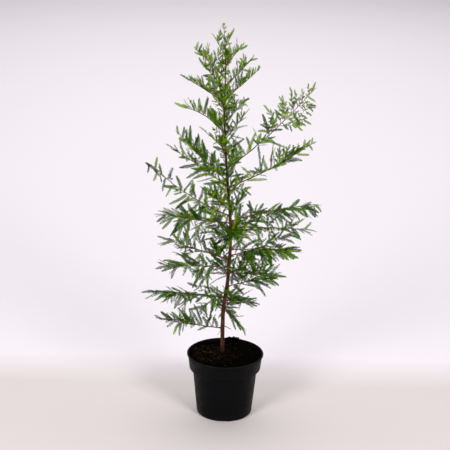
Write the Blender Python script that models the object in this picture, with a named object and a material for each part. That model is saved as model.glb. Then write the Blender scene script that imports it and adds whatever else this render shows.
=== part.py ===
# Young bald cypress, about 1.45 m tall with its black nursery pot.
# Metres, +Z up. The origin is the centre of the pot's flat underside, which stands on the ground.
# Seen from the front, +X is to the right and +Y is away from the viewer.

import math
import random

import bmesh
import bpy
from mathutils import Matrix, Vector
from mathutils.bvhtree import BVHTree

# Everything that touches keeps this gap.
GAP = 0.0003
SEED = 7
SHARP_ANGLE = 40
STEEP = 0.95

# Pot: a ten litre container with a tall stiffening collar.
POT_HEIGHT = 0.232
POT_SIDES = 48
LIP_RADIUS = 0.140
LIP_DEPTH = 0.005
COLLAR_TOP_RADIUS = 0.1365
COLLAR_FOOT_RADIUS = 0.130
COLLAR_DEPTH = 0.055
SHOULDER_DEPTH = 0.009
BODY_TOP_RADIUS = 0.1175
BODY_FOOT_RADIUS = 0.1005
FOOT_ROUNDING = 0.006
WALL = 0.0025
FLOOR = 0.009

# Drain arches cut into the edge of the underside.
ARCH_COUNT = 6
ARCH_WIDTH = 0.045
ARCH_HEIGHT = 0.004
ARCH_INNER_RADIUS = 0.078
ARCH_FIRST_BEARING = 267
ARCH_CUTTER_SIDES = 64

# Compost: a flat middle that carries the trunk, a lower edge, and a heap at the back right.
SOIL_HEIGHT = 0.225
SOIL_FLAT_RADIUS = 0.045
SOIL_RING_SHARES = (1, 0.86, 0.66)
SOIL_EDGE_DROP = 0.005
SOIL_LUMP = 0.002
HEAP_BEARING = 78
HEAP_HALF_ANGLE = 28
HEAP_RISE = 0.014

# Trunk: its centre line as (height, x, y), and its radius at the foot, at the tip and in the root flare.
TRUNK_WAY = (
    (SOIL_HEIGHT + GAP, -0.011, 0.020),
    (0.40, -0.010, 0.012),
    (0.52, 0.004, 0.005),
    (0.71, 0.010, 0.000),
    (0.90, -0.006, 0.005),
    (1.14, -0.021, 0.004),
    (1.31, -0.020, 0.000),
    (1.45, -0.029, 0.000),
)
TRUNK_SIDES = 10
TRUNK_RINGS = 16
TRUNK_RING_CROWDING = 1.5
TRUNK_TAPER = 0.9
TRUNK_END = 1.408
TRUNK_FOOT_RADIUS = 0.0078
TRUNK_TIP_RADIUS = 0.0009
FLARE_RADIUS = 0.0030
FLARE_HEIGHT = 0.014
TREE_TOP = 1.45

# Limbs: (height on the trunk, bearing in degrees from +X towards +Y, reach, climb, arch).
# Reach is the level distance from trunk to tip, climb the rise over it, and arch the bow at half way.
LIMBS = (
    (0.325, 205, 0.260, 0.080, -0.005),
    (0.375, 80, 0.215, 0.020, 0.005),
    (0.405, 325, 0.090, -0.075, 0.008),
    (0.435, 320, 0.155, 0.025, 0.008),
    (0.445, 170, 0.300, -0.005, 0.005),
    (0.470, 248, 0.235, 0.015, 0.006),
    (0.490, 25, 0.200, 0.005, 0.004),
    (0.525, 100, 0.265, 0.045, 0.006),
    (0.545, 318, 0.250, 0.045, 0.006),
    (0.565, 210, 0.290, 0.050, 0.008),
    (0.595, 160, 0.275, 0.045, 0.005),
    (0.612, 358, 0.225, 0.100, -0.010),
    (0.635, 332, 0.275, 0.040, 0.004),
    (0.655, 112, 0.265, 0.070, 0.004),
    (0.672, 62, 0.250, 0.055, 0.004),
    (0.695, 278, 0.200, 0.060, 0.004),
    (0.718, 344, 0.305, 0.025, 0.002),
    (0.735, 200, 0.280, 0.065, -0.005),
    (0.742, 14, 0.330, 0.045, 0.006),
    (0.762, 160, 0.325, 0.165, -0.026),
    (0.775, 52, 0.110, 0.070, -0.006),
    (0.785, 240, 0.190, 0.140, -0.004),
    (0.825, 88, 0.240, 0.120, 0.000),
    (0.850, 295, 0.165, 0.115, 0.000),
    (0.868, 340, 0.310, 0.205, -0.014),
    (0.872, 205, 0.235, 0.175, 0.006),
    (0.892, 166, 0.190, 0.165, -0.004),
    (0.938, 10, 0.310, 0.288, -0.022),
    (0.955, 105, 0.185, 0.140, 0.000),
    (0.975, 262, 0.150, 0.120, 0.000),
    (1.002, 225, 0.120, 0.105, 0.002),
    (1.046, 320, 0.100, 0.118, 0.004),
    (1.068, 172, 0.172, 0.080, 0.024),
    (1.104, 40, 0.105, 0.070, 0.003),
    (1.128, 265, 0.100, 0.090, 0.002),
    (1.150, 100, 0.110, 0.085, 0.002),
    (1.174, 200, 0.158, 0.105, 0.004),
    (1.182, 340, 0.128, 0.126, 0.002),
    (1.222, 150, 0.110, 0.088, 0.002),
    (1.236, 28, 0.102, 0.084, -0.003),
    (1.262, 198, 0.116, 0.112, 0.002),
    (1.290, 75, 0.060, 0.070, 0.002),
    (1.305, 340, 0.068, 0.082, 0.003),
    (1.340, 150, 0.052, 0.070, 0.002),
    (1.372, 20, 0.030, 0.055, 0.000),
)

# A limb this long shows a bare bough first, which ends this share of the way along.
BOUGH_LEAST_REACH = 0.27
BOUGH_SHARE = 0.22
BOUGH_SIDES = 5
STEM_SIDES = 4
LIMB_RADIUS = 0.0011
LIMB_RADIUS_PER_REACH = 0.0040
LIMB_TIP_RADIUS = 0.0007
LIMB_SWAY = 0.03
BOUGH_RUNS = 3
STEM_RUN = 0.06
LEAST_STEM_RUNS = 3

# Sprays stand alternately left and right of a limb. On a long limb some of them are fans,
# each of which stands for a side twig with its own sprays.
SHOOT_STEP = 0.0205
SPRAY_LENGTH = 0.092
SPRAY_HALF_WIDTH = 0.0152
SPRAY_SLENDERNESS = 0.35
TIP_SPRAY_LENGTH = 0.062
FAN_EVERY = 3
FAN_LEAST_REACH = 0.15
FAN_LAST_SHARE = 0.8
FAN_SHARE = 0.36
FAN_TAPER_FROM = 1.35
FAN_GREATEST = 0.130
FAN_HALF_WIDTH_SHARE = 0.27
BLADE_THICKNESS = 0.0017
BLADE_ROOT_HALF_WIDTH = 0.0009
BLADE_SINK = 0.001
LEAST_BLADE = 0.024
FOLIAGE_START = 0.02
TIP_SINK = 0.003

# Sprays are smaller on short limbs and near both ends of a limb, and vary by chance.
LEAST_SIZE = 0.62
FULL_SIZE_REACH = 0.26
LEAST_TIP_SIZE = 0.45
TIP_SIZE_PER_REACH = 2
ROOT_FADE = 0.22
ROOT_FADE_END = 0.3
TIP_FADE = 0.38
TIP_FADE_START = 0.55
SIZE_SCATTER = (0.86, 1.12)

# Half a blade's outline as (share of its length, share of its half width, ridge point that the edge
# after it joins), and the places of the ridge points along the blade.
SPRAY_FORM = ((0.40, 0.92, 1), (0.45, 0.42, 1), (0.76, 0.74, 1))
SPRAY_RIDGE = (0.04, 0.47)
FAN_FORM = (
    (0.12, 0.11, 1),
    (0.40, 0.95, 1),
    (0.32, 0.13, 2),
    (0.66, 1.00, 2),
    (0.54, 0.13, 3),
    (0.88, 0.72, 3),
    (0.77, 0.11, 3),
)
FAN_RIDGE = (0.03, 0.22, 0.44, 0.68)

# The spread of shoots from a limb falls towards its tip, and their lift grows with height in the crown.
SPREAD_AT_ROOT = 66
SPREAD_AT_TIP = 34
SPREAD_SCATTER = 9
LIFT_LOW = 18
LIFT_HIGH = 52
LIFT_SCATTER = 48
LIFT_FROM = 0.50
LIFT_TO = 1.15
ROLL_SCATTER = 62
TIP_ROLL_SCATTER = 50

# A blade that would touch something is turned about its root and then made smaller, in these steps.
TRIED_SIZES = (1, 1, 1, 0.8, 0.8, 0.62)
TRIED_TURN = 55
CLEARANCE = 1.5 * GAP
OWN_ROOT = 0.006


def clear_scene():
    for obj in list(bpy.data.objects):
        bpy.data.objects.remove(obj, do_unlink=True)


def plain_material(name, colour, roughness):
    material = bpy.data.materials.new(name)
    material.use_nodes = True
    shader = material.node_tree.nodes["Principled BSDF"]
    shader.inputs["Base Color"].default_value = (*colour, 1)
    shader.inputs["Roughness"].default_value = roughness
    shader.inputs["Metallic"].default_value = 0
    return material


def mesh_object(name, points, faces, material=None):
    mesh = bpy.data.meshes.new(name)
    mesh.from_pydata([tuple(point) for point in points], [], faces)
    mesh.validate()
    obj = bpy.data.objects.new(name, mesh)
    bpy.context.scene.collection.objects.link(obj)
    if material:
        mesh.materials.append(material)
    return obj


def faced_out(obj):
    work = bmesh.new()
    work.from_mesh(obj.data)
    bmesh.ops.recalc_face_normals(work, faces=work.faces)
    work.to_mesh(obj.data)
    work.free()


def shade_round(obj):
    obj.data.shade_smooth()
    obj.data.set_sharp_from_angle(angle=math.radians(SHARP_ANGLE))


def on_circle(radius, angle, height):
    return Vector((radius * math.cos(angle), radius * math.sin(angle), height))


# Turned and swept shapes


def turned(name, profile, sides, material):
    """A solid turned about Z. The profile runs from the axis, round the section, back to the axis."""
    points, rings = [], []
    for radius, height in profile:
        if radius == 0:
            rings.append([len(points)])
            points.append(Vector((0, 0, height)))
            continue
        rings.append(list(range(len(points), len(points) + sides)))
        points += [on_circle(radius, math.tau * k / sides, height) for k in range(sides)]
    faces = []
    for low, high in zip(rings, rings[1:]):
        for k in range(sides):
            after = (k + 1) % sides
            if len(low) == 1:
                faces.append((low[0], high[k], high[after]))
            elif len(high) == 1:
                faces.append((low[k], high[0], low[after]))
            else:
                faces.append((low[k], high[k], high[after], low[after]))
    obj = mesh_object(name, points, faces, material)
    faced_out(obj)
    return obj


def ring_about(centre, along, radius, sides, level=False):
    """Points round a centre, in the plane across a direction. A level ring has a corner on top."""
    up = Vector((0, 0, 1)) if abs(along.z) < STEEP or level else Vector((0, 1, 0))
    side = along.cross(up).normalized()
    top = side.cross(along).normalized()
    return [
        centre
        + side * radius * math.sin(math.tau * k / sides)
        + top * radius * math.cos(math.tau * k / sides)
        for k in range(sides)
    ]


def tube_through(name, rings, material=None):
    sides = len(rings[0])
    points = [point for ring in rings for point in ring]
    faces = [tuple(range(sides))]
    for row in range(len(rings) - 1):
        for k in range(sides):
            after = (k + 1) % sides
            a, b = row * sides, (row + 1) * sides
            faces.append((a + k, b + k, b + after, a + after))
    faces.append(tuple(range((len(rings) - 1) * sides, len(rings) * sides)))
    obj = mesh_object(name, points, faces, material)
    faced_out(obj)
    return obj


# Pot and compost


def pot_inner_radius(height):
    """Radius of the wall's inside at a height."""
    collar_foot = POT_HEIGHT - COLLAR_DEPTH
    shoulder = collar_foot - SHOULDER_DEPTH
    if height >= collar_foot:
        share = (height - collar_foot) / COLLAR_DEPTH
        return COLLAR_FOOT_RADIUS + (COLLAR_TOP_RADIUS - COLLAR_FOOT_RADIUS) * share - WALL
    if height >= shoulder:
        share = (height - shoulder) / SHOULDER_DEPTH
        return BODY_TOP_RADIUS + (COLLAR_FOOT_RADIUS - BODY_TOP_RADIUS) * share - WALL
    share = height / shoulder
    return BODY_FOOT_RADIUS + (BODY_TOP_RADIUS - BODY_FOOT_RADIUS) * share - WALL


def arch_cutter(bearing):
    """A lying cylinder whose top rises ARCH_HEIGHT above the ground under the pot's edge."""
    radius = (ARCH_WIDTH**2 / 4 + ARCH_HEIGHT**2) / (2 * ARCH_HEIGHT)
    outward = Vector((math.cos(bearing), math.sin(bearing), 0))
    drop = Vector((0, 0, ARCH_HEIGHT - radius))
    ends = (ARCH_INNER_RADIUS, BODY_TOP_RADIUS)
    rings = [ring_about(outward * end + drop, outward, radius, ARCH_CUTTER_SIDES, True) for end in ends]
    cutter = tube_through("arch_cutter", rings)
    cutter.hide_render = True
    cutter.display_type = "WIRE"
    return cutter


def cut_with(obj, cutters):
    for cutter in cutters:
        modifier = obj.modifiers.new("cut", "BOOLEAN")
        modifier.operation = "DIFFERENCE"
        modifier.solver = "EXACT"
        modifier.object = cutter
    settle_modifiers(obj)
    for cutter in cutters:
        bpy.data.objects.remove(cutter, do_unlink=True)


def settle_modifiers(obj):
    """Keeps the shape that the modifiers give and drops the modifiers."""
    graph = bpy.context.evaluated_depsgraph_get()
    shaped = bpy.data.meshes.new_from_object(obj.evaluated_get(graph))
    obj.modifiers.clear()
    obj.data = shaped


def make_pot(material):
    collar_foot = POT_HEIGHT - COLLAR_DEPTH
    shoulder = collar_foot - SHOULDER_DEPTH
    lip_foot = POT_HEIGHT - LIP_DEPTH
    profile = [
        (0, 0),
        (BODY_FOOT_RADIUS - FOOT_ROUNDING, 0),
        (BODY_FOOT_RADIUS - FOOT_ROUNDING * 0.3, FOOT_ROUNDING * 0.3),
        (BODY_FOOT_RADIUS, FOOT_ROUNDING),
        (BODY_TOP_RADIUS, shoulder),
        (COLLAR_FOOT_RADIUS, collar_foot),
        (COLLAR_TOP_RADIUS, lip_foot),
        (LIP_RADIUS, lip_foot + 0.001),
        (LIP_RADIUS, POT_HEIGHT),
        (pot_inner_radius(POT_HEIGHT), POT_HEIGHT),
        (pot_inner_radius(collar_foot), collar_foot),
        (pot_inner_radius(shoulder), shoulder),
        (pot_inner_radius(FLOOR), FLOOR),
        (0, FLOOR),
    ]
    pot = turned("pot", profile, POT_SIDES, material)
    turn = math.tau / ARCH_COUNT
    first = math.radians(ARCH_FIRST_BEARING)
    cut_with(pot, [arch_cutter(first + turn * k) for k in range(ARCH_COUNT)])
    shade_round(pot)
    return pot


def soil_height(radius, angle, lumps):
    """Height of the compost at a distance and bearing from the pot's axis."""
    share = max(0.0, (radius - SOIL_FLAT_RADIUS) / (COLLAR_TOP_RADIUS - SOIL_FLAT_RADIUS))
    if share == 0:
        return SOIL_HEIGHT
    turn = (math.degrees(angle) - HEAP_BEARING + 180) % 360 - 180
    heap = max(0.0, 1 - (turn / HEAP_HALF_ANGLE) ** 2)
    lump = lumps.uniform(-SOIL_LUMP, SOIL_LUMP)
    return SOIL_HEIGHT - SOIL_EDGE_DROP * share + HEAP_RISE * heap * share + lump


def make_soil(material):
    lumps = random.Random(SEED)
    collar_foot = POT_HEIGHT - COLLAR_DEPTH
    shoulder = collar_foot - SHOULDER_DEPTH
    walls = [FLOOR + GAP, shoulder, collar_foot]
    sides = POT_SIDES
    rings = [
        [on_circle(pot_inner_radius(h) - GAP, math.tau * k / sides, h) for k in range(sides)]
        for h in walls
    ]
    edge = pot_inner_radius(SOIL_HEIGHT - SOIL_EDGE_DROP) - 2 * GAP
    for radius in [edge * share for share in SOIL_RING_SHARES] + [SOIL_FLAT_RADIUS]:
        ring = []
        for k in range(sides):
            angle = math.tau * k / sides
            ring.append(on_circle(radius, angle, soil_height(radius, angle, lumps)))
        rings.append(ring)
    soil = tube_through("soil", rings, material)
    shade_round(soil)
    return soil


# Trunk


def smooth_way(marks, value, column):
    """A smooth curve through (value, x, y) marks, read at one value."""
    for k in range(len(marks) - 1):
        if value <= marks[k + 1][0] or k == len(marks) - 2:
            break
    before, after = marks[k], marks[k + 1]
    span = after[0] - before[0]
    t = (value - before[0]) / span

    def slope(at):
        low, high = marks[max(at - 1, 0)], marks[min(at + 1, len(marks) - 1)]
        return (high[column] - low[column]) / (high[0] - low[0]) * span

    square, cube = t * t, t * t * t
    return (
        (2 * cube - 3 * square + 1) * before[column]
        + (cube - 2 * square + t) * slope(k)
        + (3 * square - 2 * cube) * after[column]
        + (cube - square) * slope(k + 1)
    )


def trunk_centre(height):
    return Vector((smooth_way(TRUNK_WAY, height, 1), smooth_way(TRUNK_WAY, height, 2), height))


def trunk_radius(height):
    foot = TRUNK_WAY[0][0]
    share = (height - foot) / (TREE_TOP - foot)
    body = TRUNK_TIP_RADIUS + (TRUNK_FOOT_RADIUS - TRUNK_TIP_RADIUS) * (1 - share) ** TRUNK_TAPER
    return body + FLARE_RADIUS * math.exp(-(height - foot) / FLARE_HEIGHT)


def make_trunk(material):
    foot = TRUNK_WAY[0][0]
    rings = []
    for k in range(TRUNK_RINGS + 1):
        # The rings stand closer together in the root flare.
        height = foot + (TRUNK_END - foot) * (k / TRUNK_RINGS) ** TRUNK_RING_CROWDING
        centre, radius = trunk_centre(height), trunk_radius(height)
        rings.append(
            [centre + on_circle(radius, math.tau * side / TRUNK_SIDES, 0) for side in range(TRUNK_SIDES)]
        )
    trunk = tube_through("trunk", rings, material)
    shade_round(trunk)
    return trunk


# What is already built, for keeping pieces apart


class Built:
    """The surfaces of finished pieces, with the mass that each belongs to."""

    def __init__(self):
        self.pieces = []

    def add(self, owner, obj):
        points = [vertex.co.copy() for vertex in obj.data.vertices]
        faces = [tuple(face.vertices) for face in obj.data.polygons]
        self.pieces.append((owner, bounds_of(points), BVHTree.FromPolygons(points, faces)))

    def hits(self, points, faces, leave_out=()):
        low, high = bounds_of(points)
        tree = None
        for owner, (other_low, other_high), other in self.pieces:
            if owner in leave_out:
                continue
            if any(low[k] > other_high[k] or high[k] < other_low[k] for k in range(3)):
                continue
            tree = tree or BVHTree.FromPolygons(points, faces)
            if tree.overlap(other):
                return True
        return False


def bounds_of(points):
    low = [min(point[k] for point in points) for k in range(3)]
    high = [max(point[k] for point in points) for k in range(3)]
    return low, high


# Limbs


class Limb:
    """One limb's centre line, from the trunk's surface to the tip of its last spray."""

    def __init__(self, number, height, bearing, reach, climb, arch):
        self.number = number
        self.height = height
        self.reach = reach
        self.climb = climb
        self.arch = arch
        self.outward = on_circle(1, math.radians(bearing), 0)
        self.start = trunk_centre(height) + self.outward * trunk_radius(height)
        self.length = math.hypot(reach, climb)
        self.chance = random.Random(SEED * 1000 + number)
        self.sway = self.chance.uniform(-LIMB_SWAY, LIMB_SWAY) * reach

    def at(self, t):
        rise = self.climb * t + 4 * self.arch * t * (1 - t)
        side = Vector((-self.outward.y, self.outward.x, 0))
        return (
            self.start
            + self.outward * self.reach * t
            + side * self.sway * math.sin(math.pi * t)
            + Vector((0, 0, rise))
        )

    def along(self, t):
        step = 0.01
        return (self.at(t + step) - self.at(t - step)).normalized()

    def radius(self, t):
        root = LIMB_RADIUS + LIMB_RADIUS_PER_REACH * self.reach
        return root + (LIMB_TIP_RADIUS - root) * t

    def wood_end(self):
        """Share of the way at which the wood ends and the last spray begins."""
        return 1 - TIP_SPRAY_LENGTH * self.tip_scale() / self.length

    def tip_scale(self):
        return min(1.0, LEAST_TIP_SIZE + self.reach * TIP_SIZE_PER_REACH)

    def bough_end(self):
        return BOUGH_SHARE if self.reach >= BOUGH_LEAST_REACH else 0.0


class Leader(Limb):
    """The leader's soft tip, which goes on from the trunk's end as a limb that points up."""

    def __init__(self, number):
        super().__init__(number, TRUNK_END, 0, 0, TREE_TOP - TRUNK_END, 0)

    def at(self, t):
        return trunk_centre(TRUNK_END + self.climb * t) + Vector((0, 0, GAP))

    def radius(self, t):
        return trunk_radius(TRUNK_END + self.climb * t)


def root_ring(limb, sides, trunk_tree):
    """The limb's first ring, flat against the trunk with the gap between."""
    ring = ring_about(limb.start, limb.outward, limb.radius(0), sides, True)
    nearest = TRUNK_FOOT_RADIUS
    for point in [limb.start] + ring:
        outside = point + limb.outward * TRUNK_FOOT_RADIUS
        distance = trunk_tree.ray_cast(outside, -limb.outward, 2 * TRUNK_FOOT_RADIUS)[3]
        nearest = min(nearest, distance or nearest)
    return [point + limb.outward * (TRUNK_FOOT_RADIUS - nearest + GAP) for point in ring]


def limb_rings(limb, t_from, t_to, sides, count, first=None):
    rings = [first] if first else []
    for k in range(1 if first else 0, count + 1):
        t = t_from + (t_to - t_from) * k / count
        rings.append(ring_about(limb.at(t), limb.along(t), limb.radius(t), sides))
    return rings


def make_bough(limb, material, trunk_tree):
    first = root_ring(limb, BOUGH_SIDES, trunk_tree)
    rings = limb_rings(limb, 0, limb.bough_end(), BOUGH_SIDES, BOUGH_RUNS, first)
    bough = tube_through(f"bough_{limb.number:02d}", rings, material)
    shade_round(bough)
    return bough


# Foliage


def turned_away(direction, side, up, spread, lift):
    """A direction that leaves another by the angle spread, to one side and lifted."""
    across = side * math.cos(lift) + up * math.sin(lift)
    return (direction * math.cos(spread) + across * math.sin(spread)).normalized()


def blade(shoot, length, half_width, form, ridge, begin=0.0, swell=0.0):
    """A toothed blade, flat below and ridged above: (points, faces). Swell grows it for clearance tests."""
    side = shoot.direction.cross(shoot.facing).normalized()
    normal = side.cross(shoot.direction).normalized()
    half = [(-BLADE_SINK, BLADE_ROOT_HALF_WIDTH + swell)]
    half += [(x * length, y * half_width + swell) for x, y, _ in form]
    outline = half + [(length + swell, 0)] + [(x, -y) for x, y in reversed(half)]
    outline = [(max(x, begin), y) for x, y in outline]
    points = [shoot.root + shoot.direction * x + side * y - normal * swell for x, y in outline]
    last = len(outline)
    for share in ridge:
        x = max(share * length, begin)
        points.append(shoot.root + shoot.direction * x + normal * (BLADE_THICKNESS + swell))
    joins = [0] + [number for _, _, number in form]
    faces = [tuple(range(last)), (0, last, last - 1)]
    for k, join in enumerate(joins):
        mirror = last - 1 - k
        if k and joins[k - 1] != join:
            faces.append((k, last + join, last + joins[k - 1]))
            faces.append((mirror, last + joins[k - 1], last + join))
        faces.append((k, k + 1, last + join))
        faces.append((mirror, last + join, mirror - 1))
    return points, faces


class Shoot:
    """Where one blade leaves its parent: a root, a direction and the way its face looks."""

    def __init__(self, at, along, side_sign, spread, lift, roll):
        side = along.cross(Vector((0, 0, 1))).normalized() * side_sign
        up = Vector((0, 0, 1)) - along * along.z
        up.normalize()
        self.direction = turned_away(along, side, up, math.radians(spread), math.radians(lift))
        facing = up - self.direction * up.dot(self.direction)
        if facing.length < 0.3:
            facing = side - self.direction * side.dot(self.direction)
        self.facing = facing.normalized()
        self.root = at
        self.roll(roll)

    def roll(self, degrees):
        self.facing = Matrix.Rotation(math.radians(degrees), 3, self.direction) @ self.facing


class Mass:
    """One limb's foliage: a stem with its sprays and fans, which become one solid."""

    def __init__(self, limb, built, trunk_tree):
        self.limb = limb
        self.name = f"foliage_{limb.number:02d}"
        self.built = built
        self.parts = []
        share = (limb.height - LIFT_FROM) / (LIFT_TO - LIFT_FROM)
        self.lift = LIFT_LOW + (LIFT_HIGH - LIFT_LOW) * min(1.0, max(0.0, share))
        self.grow_stem(trunk_tree)
        self.grow_shoots()

    def keep(self, points, faces):
        obj = mesh_object(f"{self.name}_piece", points, faces)
        faced_out(obj)
        self.parts.append(obj)
        self.built.add(self.name, obj)

    def grow_stem(self, trunk_tree):
        limb = self.limb
        first = None
        begin = limb.bough_end()
        if begin:
            begin += GAP / limb.length
        elif not isinstance(limb, Leader):
            first = root_ring(limb, STEM_SIDES, trunk_tree)
        end = limb.wood_end()
        count = max(LEAST_STEM_RUNS, math.ceil(limb.reach / STEM_RUN))
        rings = limb_rings(limb, begin, end, STEM_SIDES, count, first)
        self.marks = [begin + (end - begin) * k / count for k in range(count + 1)]
        stem = tube_through(f"{self.name}_stem", rings)
        if self.built.hits(*surface_of(stem), leave_out=(self.name,)):
            print(self.name, "its stem meets another limb")
        self.parts.append(stem)
        self.built.add(self.name, stem)

    def on_stem(self, t):
        """The centre of the stem itself, which runs straight from ring to ring."""
        for before, after in zip(self.marks, self.marks[1:]):
            if t <= after:
                break
        low, high = self.limb.at(before), self.limb.at(after)
        return low + (high - low) * (t - before) / (after - before)

    def stands_clear(self, shoot, length, half_width, form, ridge):
        """Whether a blade keeps off other pieces, and its outer part off this mass's own."""
        swollen, faces = blade(shoot, length, half_width, form, ridge, 0, CLEARANCE)
        if self.built.hits(swollen, faces, leave_out=(self.name,)):
            return False
        outer, faces = blade(shoot, length, half_width, form, ridge, OWN_ROOT, GAP)
        return not self.built.hits(outer, faces)

    def add_blade(self, shoot, length, half_width, form, ridge):
        """Adds a blade, turned and then shortened until it stands clear, or else leaves it out."""
        for scale in TRIED_SIZES:
            if length * scale < LEAST_BLADE:
                return
            size = (length * scale, half_width * scale, form, ridge)
            if self.stands_clear(shoot, *size):
                self.keep(*blade(shoot, *size))
                return
            shoot.roll(TRIED_TURN)

    def add_spray(self, shoot, length):
        share = SPRAY_SLENDERNESS + (1 - SPRAY_SLENDERNESS) * length / SPRAY_LENGTH
        half_width = SPRAY_HALF_WIDTH * share
        self.add_blade(shoot, length, half_width, SPRAY_FORM, SPRAY_RIDGE)

    def add_fan(self, shoot, length):
        self.add_blade(shoot, length, length * FAN_HALF_WIDTH_SHARE, FAN_FORM, FAN_RIDGE)

    def grow_tip(self, end):
        limb = self.limb
        roll = limb.chance.uniform(-TIP_ROLL_SCATTER, TIP_ROLL_SCATTER)
        root = self.on_stem(end - TIP_SINK / limb.length)
        tip = Shoot(root, limb.along(end), 1, 0, 0, roll)
        self.add_spray(tip, TIP_SPRAY_LENGTH * limb.tip_scale() + TIP_SINK)

    def grow_shoots(self):
        limb, chance = self.limb, self.limb.chance
        full_size = LEAST_SIZE + (1 - LEAST_SIZE) * min(1, limb.reach / FULL_SIZE_REACH)
        end = limb.wood_end()
        self.grow_tip(end)
        begin = limb.bough_end() + FOLIAGE_START
        count = max(2, round((end - begin) * limb.length / SHOOT_STEP))
        for k in range(count):
            share = (k + 0.5) / count
            t = begin + (end - begin) * share
            spread = SPREAD_AT_ROOT + (SPREAD_AT_TIP - SPREAD_AT_ROOT) * share
            spread += chance.uniform(-SPREAD_SCATTER, SPREAD_SCATTER)
            lift = self.lift + chance.uniform(-LIFT_SCATTER, LIFT_SCATTER)
            roll = chance.uniform(-ROLL_SCATTER, ROLL_SCATTER)
            size = chance.uniform(*SIZE_SCATTER)
            shoot = Shoot(self.on_stem(t), limb.along(t), 1 if k % 2 else -1, spread, lift, roll)
            fan_here = limb.reach >= FAN_LEAST_REACH and share < FAN_LAST_SHARE
            if fan_here and k % FAN_EVERY == 1:
                length = limb.length * FAN_SHARE * (FAN_TAPER_FROM - share)
                self.add_fan(shoot, min(FAN_GREATEST, length) * size)
            else:
                self.add_spray(shoot, SPRAY_LENGTH * full_size * size * fade(share))

    def join(self, material):
        """Fuses the stem, sprays and fans into one closed solid."""
        stem, others = self.parts[0], self.parts[1:]
        group = bpy.data.collections.new(f"{self.name}_parts")
        for obj in others:
            group.objects.link(obj)
        modifier = stem.modifiers.new("join", "BOOLEAN")
        modifier.operation = "UNION"
        modifier.operand_type = "COLLECTION"
        modifier.solver = "EXACT"
        modifier.collection = group
        settle_modifiers(stem)
        stem.name = self.name
        stem.data.materials.clear()
        stem.data.materials.append(material)
        for obj in others:
            bpy.data.objects.remove(obj, do_unlink=True)
        bpy.data.collections.remove(group)
        return stem


def fade(share):
    """How much of its full size a spray has at a share of the way along the foliage."""
    at_root = ROOT_FADE * (1 - min(1, share / ROOT_FADE_END))
    at_tip = TIP_FADE * max(0, share - TIP_FADE_START) / (1 - TIP_FADE_START)
    return 1 - at_root - at_tip


def surface_of(obj):
    points = [vertex.co.copy() for vertex in obj.data.vertices]
    return points, [tuple(face.vertices) for face in obj.data.polygons]


def main():
    clear_scene()
    plastic = plain_material("black_polypropylene", (0.018, 0.018, 0.020), 0.5)
    compost = plain_material("compost", (0.020, 0.014, 0.010), 0.95)
    bark = plain_material("cypress_bark", (0.110, 0.050, 0.030), 0.8)
    needles = plain_material("cypress_needles", (0.110, 0.210, 0.040), 0.6)
    built = Built()
    for obj in (make_pot(plastic), make_soil(compost)):
        built.add(obj.name, obj)
    trunk = make_trunk(bark)
    built.add("trunk", trunk)
    trunk_tree = BVHTree.FromPolygons(*surface_of(trunk))
    limbs = [Limb(k + 1, *sizes) for k, sizes in enumerate(LIMBS)]
    for limb in limbs:
        if limb.bough_end():
            built.add(f"bough_{limb.number:02d}", make_bough(limb, bark, trunk_tree))
    masses = [Mass(Leader(len(limbs) + 1), built, trunk_tree)]
    masses += [Mass(limb, built, trunk_tree) for limb in reversed(limbs)]
    for mass in masses:
        mass.join(needles)
    print(len(bpy.data.objects), "pieces")


main()
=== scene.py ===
# %% [markdown]
# # A young bald cypress in its nursery pot
#
# A sapling about 1.45 m tall: one slim trunk in a black pot, and forty-five limbs that carry feathers of
# soft needles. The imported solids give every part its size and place. This script gives each part its
# surface and carries the growing rule of the solids on, down to the single needle.

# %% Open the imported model
import math
import random

import bpy
import numpy as np
from mathutils import Matrix, Vector, noise


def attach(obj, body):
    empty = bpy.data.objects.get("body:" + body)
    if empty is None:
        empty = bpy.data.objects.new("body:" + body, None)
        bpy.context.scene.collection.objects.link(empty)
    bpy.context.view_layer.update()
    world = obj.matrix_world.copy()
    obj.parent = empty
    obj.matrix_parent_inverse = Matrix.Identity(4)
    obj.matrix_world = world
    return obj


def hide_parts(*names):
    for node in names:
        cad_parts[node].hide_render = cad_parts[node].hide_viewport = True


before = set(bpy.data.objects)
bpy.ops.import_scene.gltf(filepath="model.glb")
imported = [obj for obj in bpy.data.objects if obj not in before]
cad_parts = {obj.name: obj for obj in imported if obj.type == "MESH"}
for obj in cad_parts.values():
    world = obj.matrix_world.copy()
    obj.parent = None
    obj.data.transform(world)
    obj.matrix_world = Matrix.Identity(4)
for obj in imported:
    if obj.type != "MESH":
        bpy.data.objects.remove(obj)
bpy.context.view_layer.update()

# %% [markdown]
# ## Camera
#
# A product photographer stands back and uses a long lens, so that the pot and the leader are seen from
# nearly the same angle. The camera looks down by nineteen degrees, because that gives the pot's mouth
# its oval, and leans by about one degree.

# %% Place the camera
LENS_MM = 120
CAMERA_PLACE = (-0.0105, -5.0457, 2.4638)
CAMERA_DOWN = math.radians(19)
CAMERA_LEAN = math.radians(1.2)

bpy.ops.object.camera_add(location=CAMERA_PLACE)
camera = bpy.context.object
camera.data.lens = LENS_MM
tilt = Matrix.Rotation(math.pi / 2 - CAMERA_DOWN, 4, "X")
camera.matrix_world = Matrix.Translation(CAMERA_PLACE) @ tilt @ Matrix.Rotation(CAMERA_LEAN, 4, "Z")
bpy.context.scene.camera = camera
print("camera stands", round(-CAMERA_PLACE[1], 2), "m in front")

# %% [markdown]
# ## Colours and nodes
#
# Colours are noted as the sRGB hex values that a colour picker shows, while shaders reckon in linear
# light, so one function turns one into the other. Another adds a node with its settings and links, and
# four more add the kinds that come up most: a noise, a range, a mix of two colours and a relief.


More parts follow.
